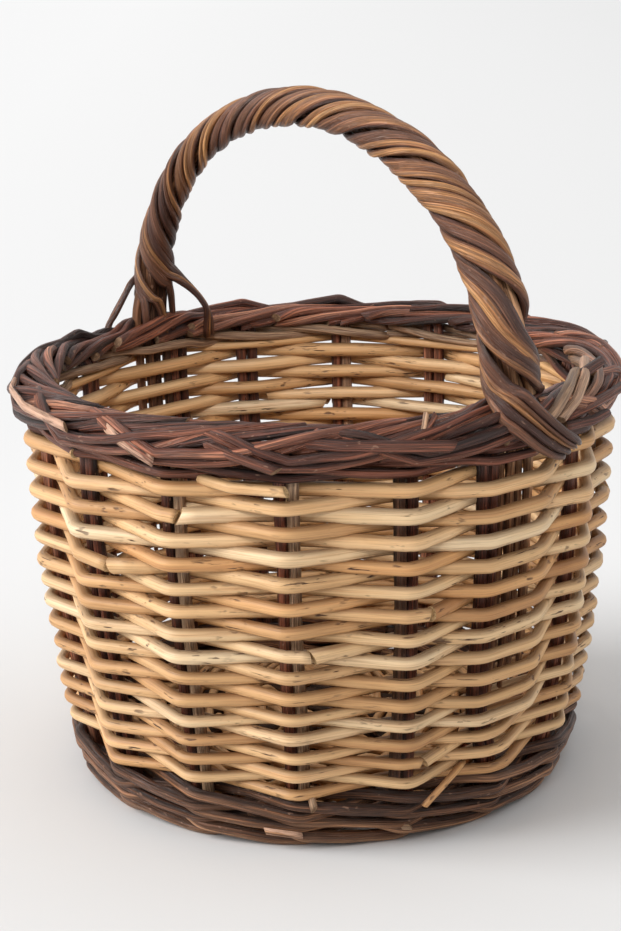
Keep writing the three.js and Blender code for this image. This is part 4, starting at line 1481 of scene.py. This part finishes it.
def rope_path(i, aside, share):
    group, place = (1, i - 1.5) if i < ROPE_COUNT // 2 else (-1, i - 5.5)
    place += aside
    winds = []
    for step in range(ROPE_STEPS + 1 - LEAVES_EARLY.get(i, 0)):
        u = step / ROPE_STEPS
        at, out = arch_at(u)
        near = gathered(u)
        deep = read(ROD_DEEP, u)
        wind_r = read(GIRTH, u) - deep + PROUD[i] * (1 - near)
        bind = BIND_TURNS * math.exp(-(((u - BIND_AT) / BIND_RUN) ** 2)) if group > 0 else 0.0
        slot = place * (1 - (0.44 if u < 0.5 else 0.3) * near) * 2 * math.pi / ROPE_COUNT
        wander = WANDER * (1 - near) * noise.noise(Vector((6 * u, 2.7 * i + aside, 1.5)))
        turn = group * math.pi / 2 + slot + wander - 2 * math.pi * (LAY_TURNS * u + bind)
        away = out * math.cos(turn) + Vector((0, math.sin(turn), 0))
        lay = math.atan(2 * math.pi * wind_r * LAY_TURNS / ARCH_LENGTH)
        wide = share * COVER * math.pi * wind_r * math.cos(lay) / ROPE_COUNT
        winds.append(station(at + away * wind_r, away, wide, deep))
    left = rope_foot(-1, LEFT_FEET[i], place if LEFT_FEET[i] is LOOP_OVER else aside, share)
    return rope_foot(1, RIGHT_FEET[group], place, share)[::-1] + winds + left


print("stations of a wound rod:", len(rope_path(0, 0, 1.0)))

# %% Eight wound rods
ROPE_SHADES = (0.72, 0.4, 0.8, 0.2, 0.6, 0.3, 0.85, 0.5)
ROPE_ENDS = {4: 0.52, 2: 0.72}  # rods that end on the arch, where the next one goes on
HALF_SHARE = 0.54  # width of a rod that shares its place with another


def rope_tone(shade):
    """The ends of a rod at the two feet are darker than the rest of it."""

    def tone(t, spot):
        ends = 0.38 * (1 - smooth(t / 0.24)) + 0.25 * smooth((t - 0.7) / 0.2)
        # Painted shade in the slits between the wound rods.
        return shade - ends - BARK_HOLLOW_SHADE * hollow(spot), 0.0, 0.0, 1.0

    return tone


def joined(path, share):
    """A rod and the next one that goes on from its end: the first stops on top of the second."""
    cut = round(share * len(path))
    first, second = path[: cut + 1], path[cut:]
    at, out, wide, deep = first[-1]
    first[-1] = (at + 1.2 * out, out, 0.8 * wide, 0.8 * deep)
    at, out, wide, deep = second[0]
    second[0] = (at - 0.8 * out, out, wide, deep)
    return first, second


for i in range(ROPE_COUNT):
    rods = []
    share = 1.0 if len(STRANDS[i]) == 1 else HALF_SHARE
    for j, aside in enumerate(STRANDS[i]):
        path = softened(rope_path(i, aside, share), 3, 5)
        path = naturally(path, 410 + i + 0.31 * j, sway=0.5, swell=0.1, butt=1.02, tip=0.96)
        shade = ROPE_SHADES[i] - 0.28 * j
        if i in ROPE_ENDS:
            first, path = joined(path, ROPE_ENDS[i])
            rods.append((first, rope_tone(shade)))
            shade -= 0.3
        rods.append((path, rope_tone(shade)))
    rod_piece(f"handle_rope_{i + 1}", rods, 10, handle_bark, "handle_rope", seed=410 + i, lean=0.6)
print("wound rods:", ROPE_COUNT)

# %% [markdown]
# ## Floor, light and camera
# The basket stands on a wide flat floor of matt paper. A sheet that curves up behind would hide the horizon
# too, but from other sides it would stand in the way, so the floor stays flat and the sky is as pale as
# the floor where the camera sees it. Light comes from a broad soft sun on the left and from a sky that is
# brighter overhead, and a small lamp in front works like a reflector card. The camera looks slightly down.

# %% The floor
CAMERA_AT = Vector((0.8209, -0.6617, 0.4574))
LOOKING = Vector((-0.7502, 0.6000, -0.2780)).normalized()
AWAY = Vector((LOOKING.x, LOOKING.y, 0)).normalized()
SIDE = Vector((AWAY.y, -AWAY.x, 0))  # to the right, as the camera sees it
FLOOR_HALF = 15.0
# Painted shade: the paper is painted a little darker to the right, away from the sun: metres to the right,
# and the grey there.
PAPER_SHADE_TO_RIGHT = {"From Min": -0.5, "From Max": 0.8, "To Min": 0.77, "To Max": 0.69}


def set_numbers(node, numbers):
    for socket, number in numbers.items():
        node.inputs[socket].default_value = number


bm = bmesh.new()
bmesh.ops.create_grid(bm, x_segments=1, y_segments=1, size=FLOOR_HALF)
mesh = bpy.data.meshes.new("floor")
bm.to_mesh(mesh)
bm.free()
floor = bpy.data.objects.new("floor", mesh)
bpy.context.scene.collection.objects.link(floor)
paper = bpy.data.materials.new("paper")
paper.use_nodes = True
nodes, links = paper.node_tree.nodes, paper.node_tree.links
spot = nodes.new("ShaderNodeTexCoord")
across = nodes.new("ShaderNodeVectorMath")
across.operation = "DOT_PRODUCT"
across.inputs[1].default_value = SIDE
# The paper's painted shade, by how far to the right it lies.
paper_shade = nodes.new("ShaderNodeMapRange")
set_numbers(paper_shade, PAPER_SHADE_TO_RIGHT)
links.new(spot.outputs["Object"], across.inputs[0])
links.new(across.outputs["Value"], paper_shade.inputs["Value"])
links.new(paper_shade.outputs["Result"], nodes["Principled BSDF"].inputs["Base Color"])
set_numbers(nodes["Principled BSDF"], {"Roughness": 1.0, "Specular IOR Level": 0.0})
mesh.materials.append(paper)
print(f"floor: {2 * FLOOR_HALF:.0f} m wide")

# %% The sky
# The sky lights the basket by its height: dim at the horizon and bright overhead. The camera, and any gloss
# or glass, sees one pale backdrop in its place.
BACKDROP = 0.88
SKY_GLOW = {"From Min": 0.0, "From Max": 1.0, "To Min": 0.22, "To Max": 1.06}

world = bpy.data.worlds.new("studio")
bpy.context.scene.world = world
world.use_nodes = True
nodes, links = world.node_tree.nodes, world.node_tree.links
nodes["Background"].inputs["Color"].default_value = (1.0, 1.0, 1.0, 1)
sky = nodes.new("ShaderNodeTexCoord")
height = nodes.new("ShaderNodeSeparateXYZ")
glow = nodes.new("ShaderNodeMapRange")
set_numbers(glow, SKY_GLOW)
links.new(sky.outputs["Generated"], height.inputs["Vector"])
links.new(height.outputs["Z"], glow.inputs["Value"])
seen = nodes.new("ShaderNodeLightPath")
sight = seen.outputs["Is Camera Ray"]
for ray in ("Is Glossy Ray", "Is Transmission Ray"):
    either = nodes.new("ShaderNodeMath")
    either.operation = "MAXIMUM"
    links.new(sight, either.inputs[0])
    links.new(seen.outputs[ray], either.inputs[1])
    sight = either.outputs[0]
backdrop = nodes.new("ShaderNodeMix")
backdrop.inputs["B"].default_value = BACKDROP
links.new(sight, backdrop.inputs["Factor"])
links.new(glow.outputs["Result"], backdrop.inputs["A"])
links.new(backdrop.outputs["Result"], nodes["Background"].inputs["Strength"])
print("sky:", len(nodes), "nodes")

# %% Lamps
SUN_STRENGTH = 2.85
SUN_SPREAD = math.radians(40)
SUN_TOWARDS = SIDE * 0.85 + AWAY * 0.12 - Vector((0, 0, 0.48))
CARD_POWER = 24.0
CARD_SPREAD = math.radians(17)
CARD_SOFT_EDGE = 0.7
CARD_SIZE = 0.15
CARD_AT = Vector((0, 0, 0.75)) - AWAY * 0.75
CARD_TOWARDS = AWAY * 0.88 - Vector((0, 0, 0.59))


def hang_lamp(lamp, at, towards):
    holder = bpy.data.objects.new(lamp.name, lamp)
    holder.location = at
    holder.rotation_mode = "QUATERNION"
    holder.rotation_quaternion = towards.to_track_quat("-Z", "Y")
    bpy.context.scene.collection.objects.link(holder)
    print("lamp:", lamp.name, lamp.type, round(lamp.energy, 2))


sun = bpy.data.lights.new("key", "SUN")
sun.energy = SUN_STRENGTH
sun.angle = SUN_SPREAD
hang_lamp(sun, Vector((0, 0, 0)), SUN_TOWARDS)
card = bpy.data.lights.new("card", "SPOT")
card.energy = CARD_POWER
card.spot_size = CARD_SPREAD
card.spot_blend = CARD_SOFT_EDGE
card.shadow_soft_size = CARD_SIZE
hang_lamp(card, CARD_AT, CARD_TOWARDS)

# %% The camera
SENSOR = 36.0
LENS = 83.52
ROLL = -0.0263

cam = bpy.data.cameras.new("camera")
cam.sensor_width = SENSOR
cam.lens = LENS
camera = bpy.data.objects.new("camera", cam)
back = -LOOKING
right = Vector((0, 0, 1)).cross(back).normalized()
up = back.cross(right)
turn = Matrix((right, up, back)).transposed().to_4x4()
camera.matrix_world = Matrix.Translation(CAMERA_AT) @ turn @ Matrix.Rotation(ROLL, 4, "Z")
bpy.context.scene.collection.objects.link(camera)
bpy.context.scene.camera = camera
bpy.context.scene.view_settings.view_transform = "Standard"
print(f"camera: {CAMERA_AT.length:.2f} m from the foot, lens {LENS} mm")
